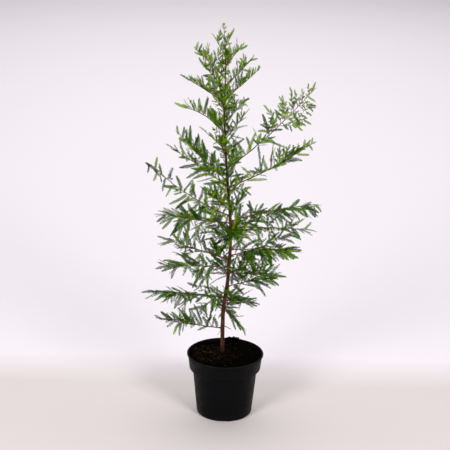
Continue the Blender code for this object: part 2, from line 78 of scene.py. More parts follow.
# %% Helpers for materials
def linear(hex_colour):
    """A linear colour from an sRGB hex value."""
    values = [int(hex_colour[k : k + 2], 16) / 255 for k in (1, 3, 5)]
    return tuple(v / 12.92 if v <= 0.04045 else ((v + 0.055) / 1.055) ** 2.4 for v in values) + (1,)


def add_node(tree, kind, settings=(), links=()):
    """Adds a node. A setting is for a socket or a property, and a link gives a socket's source."""
    node = tree.nodes.new("ShaderNode" + kind)
    for name, value in dict(settings).items():
        if isinstance(name, int) or name in node.inputs:
            node.inputs[name].default_value = value
        else:
            setattr(node, name, value)
    for name, source in dict(links).items():
        tree.links.new(source, node.inputs[name])
    return node


def noise_of(tree, place, size, detail, roughness=0.5):
    """A noise whose patches have a size in metres."""
    settings = {"Scale": 1 / size, "Detail": detail, "Roughness": roughness}
    return add_node(tree, "TexNoise", settings, {"Vector": place}).outputs[0]


def range_of(tree, source, low, high, start=0, end=1):
    """What runs from start to end while the source runs from low to high."""
    settings = {"From Min": low, "From Max": high, "To Min": start, "To Max": end}
    return add_node(tree, "MapRange", settings, {"Value": source}).outputs[0]


def mix_of(tree, share, first, second):
    """A colour between two. Each is a hex value or comes from another node."""
    node = add_node(tree, "Mix", {"data_type": "RGBA"}, {0: share})
    for socket, colour in ((6, first), (7, second)):
        if isinstance(colour, str):
            node.inputs[socket].default_value = linear(colour)
        else:
            tree.links.new(colour, node.inputs[socket])
    return node.outputs[2]


def relief_of(tree, pattern, strength, depth, below=()):
    """The relief of a pattern, on top of another relief if one is given."""
    links = {"Height": pattern, **dict(below)}
    return add_node(tree, "Bump", {"Strength": strength, "Distance": depth}, links).outputs[0]


def new_material(name, hex_colour, roughness, ior, specular=0.5):
    """A plain material, returned with its node tree, its shader and the object coordinates."""
    material = bpy.data.materials.new(name)
    material.use_nodes = True
    tree = material.node_tree
    shader = tree.nodes["Principled BSDF"]
    shader.inputs["Base Color"].default_value = linear(hex_colour)
    shader.inputs["Roughness"].default_value = roughness
    shader.inputs["IOR"].default_value = ior
    shader.inputs["Specular IOR Level"].default_value = specular
    place = add_node(tree, "TexCoord").outputs["Object"]
    return material, tree, shader, place


# %% [markdown]
# ## Helpers for meshes
#
# Blender's operators act on whatever is selected, so each step begins by selecting nothing. Small
# things that repeat by the thousand would take too long one by one, so their corners are worked out in
# arrays and handed to Blender as one mesh.


# %% Helpers for meshes
def select_only(piece):
    """The piece alone is selected and active."""
    bpy.ops.object.select_all(action="DESELECT")
    piece.select_set(True)
    bpy.context.view_layer.objects.active = piece


def apply_modifiers(piece):
    """Turns what the modifiers show into real faces."""
    select_only(piece)
    for modifier in list(piece.modifiers):
        bpy.ops.object.modifier_apply(modifier=modifier.name)


def mesh_of_triangles(name, points, triangles, material):
    """One object from an array of points and an array of triangles."""
    mesh = bpy.data.meshes.new(name)
    mesh.vertices.add(len(points))
    mesh.vertices.foreach_set("co", np.asarray(points, dtype=np.float32).ravel())
    mesh.loops.add(3 * len(triangles))
    mesh.loops.foreach_set("vertex_index", np.asarray(triangles, dtype=np.int32).ravel())
    mesh.polygons.add(len(triangles))
    mesh.polygons.foreach_set("loop_start", np.arange(0, 3 * len(triangles), 3, dtype=np.int32))
    mesh.update(calc_edges=True)
    mesh.materials.append(material)
    piece = bpy.data.objects.new(name, mesh)
    bpy.context.scene.collection.objects.link(piece)
    return piece


def joined(parts):
    """Several (points, triangles) as one."""
    points, triangles, count = [], [], 0
    for part_points, part_triangles in parts:
        points.append(part_points)
        triangles.append(part_triangles + count)
        count += len(part_points)
    return np.vstack(points), np.vstack(triangles)


def dress(piece, slot, *nodes):
    """The piece moves with the plant and stands for the nodes; the slot is not used."""
    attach(piece, "root")
    if nodes:
        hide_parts(*nodes)
    triangles = sum(len(face.vertices) - 2 for face in piece.data.polygons)
    print(piece.name, triangles, "triangles")


# %% [markdown]
# ## Pot
#
# The pot is a ten litre nursery container, blown or pressed from black polypropylene about 2.5 mm
# thick: a tapered body, a tall collar that keeps stacked pots apart, and a lip to lift it by. It is
# round, so it starts as a circle the size of its foot, and each extrusion carries the ring a step
# further up the outside, over the lip and down the inside. A list of steps reads like the drawing that
# a mould maker works from.

# %% The pot's outline
GAP = 0.0003
POT_SIDES = 144
POT_HEIGHT = 0.232
LIP_RADIUS = 0.140
LIP_DEPTH = 0.005
LIP_ROUNDING = 0.0016
COLLAR_TOP_RADIUS = 0.1365
COLLAR_FOOT_RADIUS = 0.130
COLLAR_FOOT = POT_HEIGHT - 0.055
SHOULDER = COLLAR_FOOT - 0.009
BODY_TOP_RADIUS = 0.1175
BODY_FOOT_RADIUS = 0.1005
FOOT_ROUNDING = 0.006
WALL = 0.0025
FLOOR = 0.009
RING_LINES = (0.074, 0.121)
RING_LINE_HEIGHT = 0.0024
RING_LINE_PROUD = 0.0003
HOLDING_RUN = 0.0015


def body_radius(height):
    """Radius of the tapered body's outside at a height."""
    return BODY_FOOT_RADIUS + (BODY_TOP_RADIUS - BODY_FOOT_RADIUS) * height / SHOULDER


def pot_inner_radius(height):
    """Radius of the wall's inside at a height."""
    if height >= COLLAR_FOOT:
        share = (height - COLLAR_FOOT) / (POT_HEIGHT - COLLAR_FOOT)
        return COLLAR_FOOT_RADIUS + (COLLAR_TOP_RADIUS - COLLAR_FOOT_RADIUS) * share - WALL
    if height >= SHOULDER:
        share = (height - SHOULDER) / (COLLAR_FOOT - SHOULDER)
        return BODY_TOP_RADIUS + (COLLAR_FOOT_RADIUS - BODY_TOP_RADIUS) * share - WALL
    return body_radius(height) - WALL


def rounded(radius, height, size, start, end, steps=4):
    """Points of a rounded corner about a centre, as (radius, height)."""
    angles = [math.radians(start + (end - start) * k / steps) for k in range(steps + 1)]
    return [(radius + size * math.cos(a), height + size * math.sin(a)) for a in angles]


def flat_wall(low, high):
    """Two pairs of close rings that keep the wall between two heights flat where it is shaded smooth."""
    heights = (low, low + HOLDING_RUN, high - HOLDING_RUN, high)
    return [(body_radius(height), height) for height in heights]


pot_steps = rounded(BODY_FOOT_RADIUS - FOOT_ROUNDING, FOOT_ROUNDING, FOOT_ROUNDING, -90, 0)
wall_foot = FOOT_ROUNDING + HOLDING_RUN
for height in RING_LINES:
    proud = body_radius(height) + RING_LINE_PROUD
    pot_steps += flat_wall(wall_foot, height - RING_LINE_HEIGHT / 2)
    pot_steps += [(proud, height - RING_LINE_HEIGHT / 4), (proud, height + RING_LINE_HEIGHT / 4)]
    wall_foot = height + RING_LINE_HEIGHT / 2
pot_steps += flat_wall(wall_foot, SHOULDER)
pot_steps += [(COLLAR_FOOT_RADIUS, COLLAR_FOOT), (COLLAR_TOP_RADIUS, POT_HEIGHT - LIP_DEPTH)]
pot_steps += rounded(LIP_RADIUS - LIP_ROUNDING, POT_HEIGHT - LIP_DEPTH + LIP_ROUNDING, LIP_ROUNDING, -80, 0)
pot_steps += rounded(LIP_RADIUS - LIP_ROUNDING, POT_HEIGHT - LIP_ROUNDING, LIP_ROUNDING, 0, 90)
pot_steps += [(pot_inner_radius(POT_HEIGHT) + LIP_ROUNDING / 2, POT_HEIGHT)]
pot_steps += [(pot_inner_radius(POT_HEIGHT), POT_HEIGHT - LIP_ROUNDING / 2)]
pot_steps += [(pot_inner_radius(height), height) for height in (COLLAR_FOOT, SHOULDER, FLOOR)]
print(len(pot_steps), "steps in the pot's outline")


# %% Turn the outline into a pot
def turned(name, steps, sides):
    """Extrudes a filled circle along (radius, height) steps, which leaves a closed form."""
    bpy.ops.object.select_all(action="DESELECT")
    radius, height = steps[0]
    bpy.ops.mesh.primitive_circle_add(
        vertices=sides, radius=radius, fill_type="NGON", location=(0, 0, height)
    )
    piece = bpy.context.object
    piece.name = name
    bpy.ops.object.transform_apply(location=True)
    bpy.ops.object.mode_set(mode="EDIT")
    for next_radius, next_height in steps[1:]:
        rise = (0, 0, next_height - height)
        bpy.ops.mesh.extrude_region_move(TRANSFORM_OT_translate={"value": rise})
        growth = next_radius / radius
        bpy.ops.transform.resize(value=(growth, growth, 1), center_override=(0, 0, next_height))
        radius, height = next_radius, next_height
    bpy.ops.mesh.select_all(action="SELECT")
    bpy.ops.mesh.normals_make_consistent(inside=False)
    bpy.ops.object.mode_set(mode="OBJECT")
    return piece


pot = turned("nursery_pot", pot_steps, POT_SIDES)
print(len(pot.data.polygons), "faces before the drain arches are cut")

# %% [markdown]
# Water leaves through six shallow arches in the edge of the underside. Each is what a lying cylinder
# takes away, so it is cut with a Boolean, and a narrow bevel afterwards gives the mould's soft edges.

# %% Cut the drain arches
ARCH_COUNT = 6
ARCH_WIDTH = 0.045
ARCH_HEIGHT = 0.004
ARCH_INNER_RADIUS = 0.078
ARCH_FIRST_BEARING = 267
ARCH_SIDES = 96
EDGE_ROUNDING = 0.0005
SHARP_ANGLE = math.radians(28)

arch_radius = (ARCH_WIDTH**2 / 4 + ARCH_HEIGHT**2) / (2 * ARCH_HEIGHT)
arch_length = BODY_TOP_RADIUS - ARCH_INNER_RADIUS
cutters = []
for k in range(ARCH_COUNT):
    bearing = math.radians(ARCH_FIRST_BEARING + 360 * k / ARCH_COUNT)
    middle = ARCH_INNER_RADIUS + arch_length / 2
    bpy.ops.mesh.primitive_cylinder_add(
        vertices=ARCH_SIDES,
        radius=arch_radius,
        depth=arch_length,
        location=(middle * math.cos(bearing), middle * math.sin(bearing), ARCH_HEIGHT - arch_radius),
        rotation=(0, math.pi / 2, bearing),
    )
    cutters.append(bpy.context.object)
    cut = pot.modifiers.new("arch", "BOOLEAN")
    cut.operation = "DIFFERENCE"
    cut.object = cutters[-1]
bevel = pot.modifiers.new("soft edges", "BEVEL")
bevel.width = EDGE_ROUNDING
bevel.segments = 2
bevel.limit_method = "ANGLE"
bevel.angle_limit = SHARP_ANGLE
apply_modifiers(pot)
for cutter in cutters:
    bpy.data.objects.remove(cutter, do_unlink=True)
select_only(pot)
bpy.ops.object.shade_smooth_by_angle(angle=SHARP_ANGLE)
print(len(pot.data.polygons), "faces with the arches")

# %% [markdown]
# Moulded black polypropylene has a waxy half gloss. Its soot pigment makes it nearly black, a fine
# grain in the mould breaks up the reflection, handling leaves dull and shiny patches, and compost dust
# settles near the foot and on the lip. The real grain is about a third of a millimetre, too fine to
# show here, so it is drawn at 1.5 mm.

# %% Black polypropylene
POLYPROPYLENE_IOR = 1.49
POLYPROPYLENE_SPECULAR = 0.055
SOOT_BLACK = "#08080a"
DUST_BROWN = "#2c2823"
ROUGHNESS = 0.46
SHINY_TO_DULL = (0.38, 0.6)
SCUFF_SIZE = 0.022
SCUFF_RANGE = (0.35, 0.68)
DUST_PATCH = 0.009
DUST_RANGE = (0.46, 0.66)
FOOT_DUST_HEIGHT = 0.03
FOOT_DUST = 0.5
LIP_DUST_HEIGHT = 0.004
LIP_DUST = 0.35
GRAIN_SIZE = 0.0015
GRAIN_DEPTH = 0.0001
GRAIN_STRENGTH = 0.25
WAVE_SIZE = 0.03
WAVE_DEPTH = 0.0006
WAVE_STRENGTH = 0.6

plastic, tree, shader, place = new_material(
    "moulded_black_polypropylene", SOOT_BLACK, ROUGHNESS, POLYPROPYLENE_IOR, POLYPROPYLENE_SPECULAR
)
scuffs = noise_of(tree, place, SCUFF_SIZE, 5, 0.62)
tree.links.new(range_of(tree, scuffs, *SCUFF_RANGE, *SHINY_TO_DULL), shader.inputs["Roughness"])
height_of = add_node(tree, "SeparateXYZ", (), {0: place}).outputs["Z"]
near_foot = range_of(tree, height_of, FOOT_DUST_HEIGHT, 0, 0, FOOT_DUST)
near_lip = range_of(tree, height_of, POT_HEIGHT - LIP_DUST_HEIGHT, POT_HEIGHT, 0, LIP_DUST)
dusty = add_node(tree, "Math", {"operation": "MAXIMUM"}, {0: near_foot, 1: near_lip}).outputs[0]
patchy = range_of(tree, noise_of(tree, place, DUST_PATCH, 6), *DUST_RANGE)
dust = add_node(tree, "Math", {"operation": "MULTIPLY"}, {0: dusty, 1: patchy}).outputs[0]
tree.links.new(mix_of(tree, dust, SOOT_BLACK, DUST_BROWN), shader.inputs["Base Color"])
grain = relief_of(tree, noise_of(tree, place, GRAIN_SIZE, 2), GRAIN_STRENGTH, GRAIN_DEPTH)
wavy = noise_of(tree, place, WAVE_SIZE, 1)
waves = relief_of(tree, wavy, WAVE_STRENGTH, WAVE_DEPTH, {"Normal": grain})
tree.links.new(waves, shader.inputs["Normal"])
pot.data.materials.append(plastic)
dress(pot, "pot", "pot")

# %% [markdown]
# ## Compost
#
# The pot is filled to just under its lip with moist peat and bark fines: nearly black, crumbly, a bit
# lower at the edge, with a loose heap at the back and a low mound about the trunk. The body is turned
# like the pot, its top is drawn in ring by ring, and then every point of the top is lifted by a noise
# that gives lumps of two sizes.

# %% The body of the compost
SEED = 7
SOIL_HEIGHT = 0.225
SOIL_FLAT_RADIUS = 0.045
SOIL_EDGE_DROP = 0.005
SOIL_RINGS = 46
HEAP_BEARING = 78
HEAP_HALF_ANGLE = 28
HEAP_RISE = 0.014
LUMP_SIZE = 0.019
LUMP_RISE = 0.0028
# How the lumps' noise fades from one layer to the next, how much finer each is, and their number.
LUMP_LAYERS = (0.9, 2.1, 4)
CALM_SHARE = 0.35
MOUND_PLACE = (-0.011, 0.020)
MOUND_RADIUS = 0.017
MOUND_RISE = 0.0024


def compost_height(x, y):
    """Height of the compost's surface at a place."""
    radius = math.hypot(x, y)
    share = max(0.0, (radius - SOIL_FLAT_RADIUS) / (COLLAR_TOP_RADIUS - SOIL_FLAT_RADIUS))
    turn = (math.degrees(math.atan2(y, x)) - HEAP_BEARING + 180) % 360 - 180
    heap = max(0.0, 1 - (turn / HEAP_HALF_ANGLE) ** 2)
    lumps = noise.fractal(Vector((x, y, 0)) / LUMP_SIZE, *LUMP_LAYERS)
    outer = min(1.0, max(0.0, (radius - SOIL_FLAT_RADIUS / 2) / SOIL_FLAT_RADIUS))
    steady = CALM_SHARE + (1 - CALM_SHARE) * outer
    from_trunk = math.dist((x, y), MOUND_PLACE) / MOUND_RADIUS
    rise = HEAP_RISE * heap * share + MOUND_RISE * math.exp(-from_trunk * from_trunk)
    return SOIL_HEIGHT - SOIL_EDGE_DROP * share + rise + LUMP_RISE * lumps * steady


edge_height = SOIL_HEIGHT - SOIL_EDGE_DROP - 2 * LUMP_RISE
soil_steps = [(pot_inner_radius(h) - GAP, h) for h in (FLOOR + GAP, SHOULDER, COLLAR_FOOT, edge_height)]
edge = soil_steps[-1][0]
soil_steps += [(edge * (1 - k / SOIL_RINGS), edge_height) for k in range(1, SOIL_RINGS)]
compost = turned("compost", soil_steps, POT_SIDES)
for vertex in compost.data.vertices:
    if vertex.co.z > edge_height - GAP:
        vertex.co.z = compost_height(vertex.co.x, vertex.co.y)
select_only(compost)
bpy.ops.object.shade_smooth()
print("compost from", round(FLOOR, 3), "to", round(max(v.co.z for v in compost.data.vertices), 3), "m")

# %% [markdown]
# Loose crumbs and bark chips lie on top. One crumb is a small sphere of twenty faces, knocked out of
# round. Arrays then turn, squash and strew about 2,600 copies of it, most of them peat crumbs, some of
# them flat chips, and a few pale flecks. Chips and flecks lie mostly left of the trunk.

# %% Crumbs, chips and flecks
CRUMB_COUNT = 1900
CHIP_COUNT = 300
CHIP_PLACE = (-0.036, 0.004)
CHIP_SPREAD = 0.088
TRUNK_CRUMB_COUNT = 170
# Place, radius and number of each patch of pale flecks.
FLECK_PATCHES = (
    (-0.072, 0.046, 0.044, 80),
    (0.036, 0.058, 0.007, 5),
    (-0.048, 0.006, 0.068, 110),
    (0.000, 0.000, 0.105, 40),
)
# Place and size of the clods that top the heap.
CLODS = (
    (0.007, 0.123, 0.0082),
    (0.016, 0.122, 0.0092),
    (0.026, 0.120, 0.0090),
    (0.032, 0.121, 0.0084),
    (0.039, 0.118, 0.0092),
    (0.047, 0.115, 0.0084),
    (0.021, 0.113, 0.0080),
    (0.056, 0.111, 0.0066),
)
CRUMB_SIZE = (0.0009, 0.0026)
CHIP_SIZE = (0.0022, 0.0052)
FLECK_SIZE = (0.0006, 0.0016)
CRUMB_SHAPE = (1.0, 0.8, 0.62)
CHIP_SHAPE = (1.0, 0.55, 0.24)
CRUMB_KNOCK = 0.25
CRUMB_EDGE = 0.004
CRUMB_SEAT = 0.25
CHIP_SEAT = 0.3
CLOD_SEAT = 0.6
TRUNK_CRUMB_LEAST_RADIUS = 0.0085

bpy.ops.object.select_all(action="DESELECT")
bpy.ops.mesh.primitive_ico_sphere_add(subdivisions=1, radius=1)
bpy.ops.object.mode_set(mode="EDIT")
bpy.ops.transform.vertex_random(offset=CRUMB_KNOCK, seed=SEED)
bpy.ops.object.mode_set(mode="OBJECT")
crumb = bpy.context.object
crumb_points = np.array([vertex.co for vertex in crumb.data.vertices])
crumb_faces = np.array([face.vertices for face in crumb.data.polygons])
bpy.data.objects.remove(crumb, do_unlink=True)
strewn = np.random.default_rng(SEED)


def random_turns(count):
    """Evenly spread rotations, as matrices."""
    quarter, _ = np.linalg.qr(strewn.normal(size=(count, 3, 3)))
    return quarter * np.sign(np.linalg.det(quarter))[:, None, None]


def strew(name, places, sizes, shape, material, seat):
    """Copies of the crumb laid on the compost, turned every way. Seat is how high they ride, in sizes."""
    turns = random_turns(len(places))
    stretch = sizes[:, None] * np.array(shape)
    bodies = np.einsum("nij,pj,nj->npi", turns, crumb_points, stretch)
    ground = np.array([compost_height(x, y) for x, y in places])
    seats = np.column_stack([places, ground + sizes * seat])
    points = (bodies + seats[:, None]).reshape(-1, 3)
    offsets = np.arange(len(places)) * len(crumb_points)
    triangles = (crumb_faces[None] + offsets[:, None, None]).reshape(-1, 3)
    piece = mesh_of_triangles(name, points, triangles, material)
    dress(piece, "soil")


def random_sizes(limits, places):
    """A size for each place, between two limits."""
    return strewn.uniform(*limits, len(places))


def on_disc(count, x, y, spread, least=0.0):
    """Places over a disc about (x, y), or over a ring if a least radius is given."""
    radius = least + (spread - least) * np.sqrt(strewn.uniform(size=count))
    angle = strewn.uniform(0, math.tau, count)
    return np.column_stack([x + radius * np.cos(angle), y + radius * np.sin(angle)])


# %% [markdown]
# Moist peat is one of the darkest things in a garden. It has no gloss at all, and its colour runs from
# black-brown to a dull brown where bark fines dry out on top. The flecks are dry husks and sand.

# %% Peat compost
PEAT_IOR = 1.45
PEAT_ROUGHNESS = 0.96
PEAT_SPECULAR = 0.015
PEAT_PATCH = 0.012
PEAT_GRAIN_SIZE = 0.0016
PEAT_GRAIN_DEPTH = 0.0008
PEAT_GRAIN_STRENGTH = 0.9


def peat(name, dark, light, least, most):
    """A crumbly material, dark where its noise is least and light where the noise is most."""
    material, tree, shader, place = new_material(name, dark, PEAT_ROUGHNESS, PEAT_IOR, PEAT_SPECULAR)
    share = range_of(tree, noise_of(tree, place, PEAT_PATCH, 8, 0.7), least, most)
    tree.links.new(mix_of(tree, share, dark, light), shader.inputs["Base Color"])
    grain = relief_of(
        tree, noise_of(tree, place, PEAT_GRAIN_SIZE, 4), PEAT_GRAIN_STRENGTH, PEAT_GRAIN_DEPTH
    )
    tree.links.new(grain, shader.inputs["Normal"])
    return material


moist_peat = peat("moist_peat", "#020101", "#090604", 0.42, 0.72)
dry_crumbs = peat("peat_crumbs", "#030202", "#0e0a06", 0.38, 0.68)
bark_chips = peat("bark_chips", "#0a0604", "#2b1b11", 0.35, 0.7)
pale_flecks = peat("dry_flecks", "#2e2a1c", "#736b55", 0.3, 0.7)
compost.data.materials.append(moist_peat)
dress(compost, "soil", "soil")
over_compost = on_disc(CRUMB_COUNT, 0, 0, edge - CRUMB_EDGE)
round_trunk = on_disc(TRUNK_CRUMB_COUNT, *MOUND_PLACE, MOUND_RADIUS, TRUNK_CRUMB_LEAST_RADIUS)
places = np.vstack([over_compost, round_trunk])
strew("compost_crumbs", places, random_sizes(CRUMB_SIZE, places), CRUMB_SHAPE, dry_crumbs, CRUMB_SEAT)
places = on_disc(CHIP_COUNT, *CHIP_PLACE, CHIP_SPREAD)
strew("compost_chips", places, random_sizes(CHIP_SIZE, places), CHIP_SHAPE, bark_chips, CHIP_SEAT)
clods = np.array(CLODS)
strew("compost_clods", clods[:, :2], clods[:, 2], CRUMB_SHAPE, moist_peat, CLOD_SEAT)
places = np.vstack([on_disc(count, x, y, spread) for x, y, spread, count in FLECK_PATCHES])
strew("compost_flecks", places, random_sizes(FLECK_SIZE, places), CRUMB_SHAPE, pale_flecks, CHIP_SEAT)

# %% [markdown]
# ## Trunk
#
# The trunk is a slim leader that wanders a little on its way up, swells at the compost and at each limb,
# and is clad in thin bark that splits into long fibrous strips. It starts as a cylinder of the right
# height. Cuts across its length give it rings, each ring is moved onto the centre line, and each point
# of a ring moves in or out with a noise that is twelve times longer up the stem than around it.

# %% The trunk's way and thickness
TRUNK_WAY = (
    (SOIL_HEIGHT + GAP, -0.011, 0.020),
    (0.40, -0.010, 0.012),
    (0.52, 0.004, 0.005),
    (0.71, 0.010, 0.000),
    (0.90, -0.006, 0.005),
    (1.14, -0.021, 0.004),
    (1.31, -0.020, 0.000),
    (1.45, -0.029, 0.000),
)
TRUNK_TAPER = 0.9
TRUNK_END = 1.408
TRUNK_FOOT_RADIUS = 0.0078
TRUNK_TIP_RADIUS = 0.0009
FLARE_RADIUS = 0.0014
FLARE_HEIGHT = 0.014
TREE_TOP = 1.45


def smooth_way(marks, value, column):
    """A smooth curve through (value, x, y) marks, read at one value."""
    for k in range(len(marks) - 1):
        if value <= marks[k + 1][0] or k == len(marks) - 2:
            break
    before, after = marks[k], marks[k + 1]
    span = after[0] - before[0]
    t = (value - before[0]) / span

    def slope(at):
        low, high = marks[max(at - 1, 0)], marks[min(at + 1, len(marks) - 1)]
        return (high[column] - low[column]) / (high[0] - low[0]) * span

    square, cube = t * t, t * t * t
    return (
        (2 * cube - 3 * square + 1) * before[column]
        + (cube - 2 * square + t) * slope(k)
        + (3 * square - 2 * cube) * after[column]
        + (cube - square) * slope(k + 1)
    )


def trunk_centre(height):
    """The middle of the trunk at a height."""
    return Vector((smooth_way(TRUNK_WAY, height, 1), smooth_way(TRUNK_WAY, height, 2), height))


def trunk_radius(height):
    """Half the trunk's thickness at a height, with the flare at the compost."""
    foot = TRUNK_WAY[0][0]
    share = (height - foot) / (TREE_TOP - foot)
    body = TRUNK_TIP_RADIUS + (TRUNK_FOOT_RADIUS - TRUNK_TIP_RADIUS) * (1 - share) ** TRUNK_TAPER
    return body + FLARE_RADIUS * math.exp(-(height - foot) / FLARE_HEIGHT)


print("trunk is", round(2000 * trunk_radius(0.3), 1), "mm thick low down")

# %% [markdown]
# ## Limbs
#
# Every limb is written as five numbers: where it leaves the trunk, its bearing, how far it reaches, how
# much it climbs on the way and how it bows. These are the same numbers as the solids have, so the
# finished twigs stand where the solids say. The lowest limbs reach out nearly level, the middle ones
# are the longest, and towards the leader they shorten and rise.

# %% The limbs and their shape
# Height on the trunk, bearing in degrees from +X towards +Y, reach, climb, arch.
LIMBS = (
    (0.325, 205, 0.260, 0.080, -0.005),
    (0.375, 80, 0.215, 0.020, 0.005),
    (0.405, 325, 0.090, -0.075, 0.008),
    (0.435, 320, 0.155, 0.025, 0.008),
    (0.445, 170, 0.300, -0.005, 0.005),
    (0.470, 248, 0.235, 0.015, 0.006),
    (0.490, 25, 0.200, 0.005, 0.004),
    (0.525, 100, 0.265, 0.045, 0.006),
    (0.545, 318, 0.250, 0.045, 0.006),
    (0.565, 210, 0.290, 0.050, 0.008),
    (0.595, 160, 0.275, 0.045, 0.005),
    (0.612, 358, 0.225, 0.100, -0.010),
    (0.635, 332, 0.275, 0.040, 0.004),
    (0.655, 112, 0.265, 0.070, 0.004),
    (0.672, 62, 0.250, 0.055, 0.004),
    (0.695, 278, 0.200, 0.060, 0.004),
    (0.718, 344, 0.305, 0.025, 0.002),
    (0.735, 200, 0.280, 0.065, -0.005),
    (0.742, 14, 0.330, 0.045, 0.006),
    (0.762, 160, 0.325, 0.165, -0.026),
    (0.775, 52, 0.110, 0.070, -0.006),
    (0.785, 240, 0.190, 0.140, -0.004),
    (0.825, 88, 0.240, 0.120, 0.000),
    (0.850, 295, 0.165, 0.115, 0.000),
    (0.868, 340, 0.310, 0.205, -0.014),
    (0.872, 205, 0.235, 0.175, 0.006),
    (0.892, 166, 0.190, 0.165, -0.004),
    (0.938, 10, 0.310, 0.288, -0.022),
    (0.955, 105, 0.185, 0.140, 0.000),
    (0.975, 262, 0.150, 0.120, 0.000),
    (1.002, 225, 0.120, 0.105, 0.002),
    (1.046, 320, 0.100, 0.118, 0.004),
    (1.068, 172, 0.172, 0.080, 0.024),
    (1.104, 40, 0.105, 0.070, 0.003),
    (1.128, 265, 0.100, 0.090, 0.002),
    (1.150, 100, 0.110, 0.085, 0.002),
    (1.174, 200, 0.158, 0.105, 0.004),
    (1.182, 340, 0.128, 0.126, 0.002),
    (1.222, 150, 0.110, 0.088, 0.002),
    (1.236, 28, 0.102, 0.084, -0.003),
    (1.262, 198, 0.116, 0.112, 0.002),
    (1.290, 75, 0.060, 0.070, 0.002),
    (1.305, 340, 0.068, 0.082, 0.003),
    (1.340, 150, 0.052, 0.070, 0.002),
    (1.372, 20, 0.030, 0.055, 0.000),
)
LIMB_RADIUS = 0.0011
LIMB_RADIUS_PER_REACH = 0.0040
LIMB_TIP_RADIUS = 0.0007
LIMB_SWAY = 0.03
BOUGH_LEAST_REACH = 0.27
BOUGH_SHARE = 0.22
TIP_SPRAY_LENGTH = 0.062
LEAST_TIP_SIZE = 0.45
TIP_SIZE_PER_REACH = 2


class Limb:
    """One limb's centre line, from the trunk's surface to the tip of its last spray."""

    def __init__(self, number, height, bearing, reach, climb, arch):
        self.number = number
        self.height = height
        self.reach = reach
        self.climb = climb
        self.arch = arch
        self.bearing = math.radians(bearing)
        self.outward = Vector((math.cos(self.bearing), math.sin(self.bearing), 0))
        self.start = trunk_centre(height) + self.outward * trunk_radius(height)
        self.length = math.hypot(reach, climb)
        self.chance = random.Random(SEED * 1000 + number)
        self.sway = self.chance.uniform(-LIMB_SWAY, LIMB_SWAY) * reach
        self.bough_end = BOUGH_SHARE if reach >= BOUGH_LEAST_REACH else 0.0
        self.tip_scale = min(1.0, LEAST_TIP_SIZE + reach * TIP_SIZE_PER_REACH)
        self.wood_end = 1 - TIP_SPRAY_LENGTH * self.tip_scale / self.length

    def at(self, t):
        rise = self.climb * t + 4 * self.arch * t * (1 - t)
        side = Vector((-self.outward.y, self.outward.x, 0))
        level = self.outward * self.reach * t + side * self.sway * math.sin(math.pi * t)
        return self.start + level + Vector((0, 0, rise))

    def along(self, t):
        step = 0.01
        return (self.at(t + step) - self.at(t - step)).normalized()

    def radius(self, t):
        root = LIMB_RADIUS + LIMB_RADIUS_PER_REACH * self.reach
        return root + (LIMB_TIP_RADIUS - root) * t


limbs = [Limb(k + 1, *sizes) for k, sizes in enumerate(LIMBS)]
print(len(limbs), "limbs, the longest", round(max(limb.length for limb in limbs), 3), "m")

# %% Model the trunk
TRUNK_SIDES = 64
# Cuts between two rings in the first round and in the second.
TRUNK_CUTS = (25, 25)
FIBRE_WIDTH = 0.0021
FIBRE_LENGTH = 0.026
FIBRE_DEPTH = 0.0007
FIBRE_LAYERS = (0.8, 2.2, 3)
KNOT_HEIGHT = 0.0065
KNOT_RISE = 0.0013
TRUNK_SEAT = 2 * LUMP_RISE


def fibre(point):
    """Bark strips: a noise drawn out along the stem, between -1 and 1."""
    drawn_out = Vector((point.x / FIBRE_WIDTH, point.y / FIBRE_WIDTH, point.z / FIBRE_LENGTH))
    return noise.fractal(drawn_out, *FIBRE_LAYERS)


def knot(height, angle):
    """The swelling where limbs leave the trunk."""
    rise = 0.0
    for limb in limbs:
        away = (height - limb.height) / KNOT_HEIGHT
        if abs(away) < 3:
            turn = math.cos(angle - limb.bearing)
            rise += KNOT_RISE * math.exp(-away * away) * max(0.0, turn) ** 2
    return rise


bpy.ops.object.select_all(action="DESELECT")
trunk_foot = TRUNK_WAY[0][0] - TRUNK_SEAT
bpy.ops.mesh.primitive_cylinder_add(
    vertices=TRUNK_SIDES,
    radius=TRUNK_FOOT_RADIUS,
    depth=TRUNK_END - trunk_foot,
    location=(0, 0, (TRUNK_END + trunk_foot) / 2),
)
trunk = bpy.context.object
trunk.name = "trunk_bark"
bpy.ops.object.transform_apply(location=True)
bpy.context.tool_settings.mesh_select_mode = (False, True, False)
for cuts in TRUNK_CUTS:
    trunk.data.polygons.foreach_set("select", [False] * len(trunk.data.polygons))
    trunk.data.vertices.foreach_set("select", [False] * len(trunk.data.vertices))
    for edge_line in trunk.data.edges:
        low, high = (trunk.data.vertices[k].co.z for k in edge_line.vertices)
        edge_line.select = abs(high - low) > GAP
    bpy.ops.object.mode_set(mode="EDIT")
    bpy.ops.mesh.subdivide(number_cuts=cuts)
    bpy.ops.object.mode_set(mode="OBJECT")
for vertex in trunk.data.vertices:
    height = max(vertex.co.z, trunk_foot)
    angle = math.atan2(vertex.co.y, vertex.co.x)
    radius = trunk_radius(max(height, TRUNK_WAY[0][0]))
    thin = min(1.0, radius / TRUNK_FOOT_RADIUS)
    around = Vector((math.cos(angle), math.sin(angle), 0))
    strip = fibre(around * radius + Vector((0, 0, height)))
    radius += thin * FIBRE_DEPTH * strip + knot(height, angle) * thin
    vertex.co = trunk_centre(height) + around * radius
select_only(trunk)
bpy.ops.object.shade_smooth()
print(len(trunk.data.vertices), "points on the trunk")
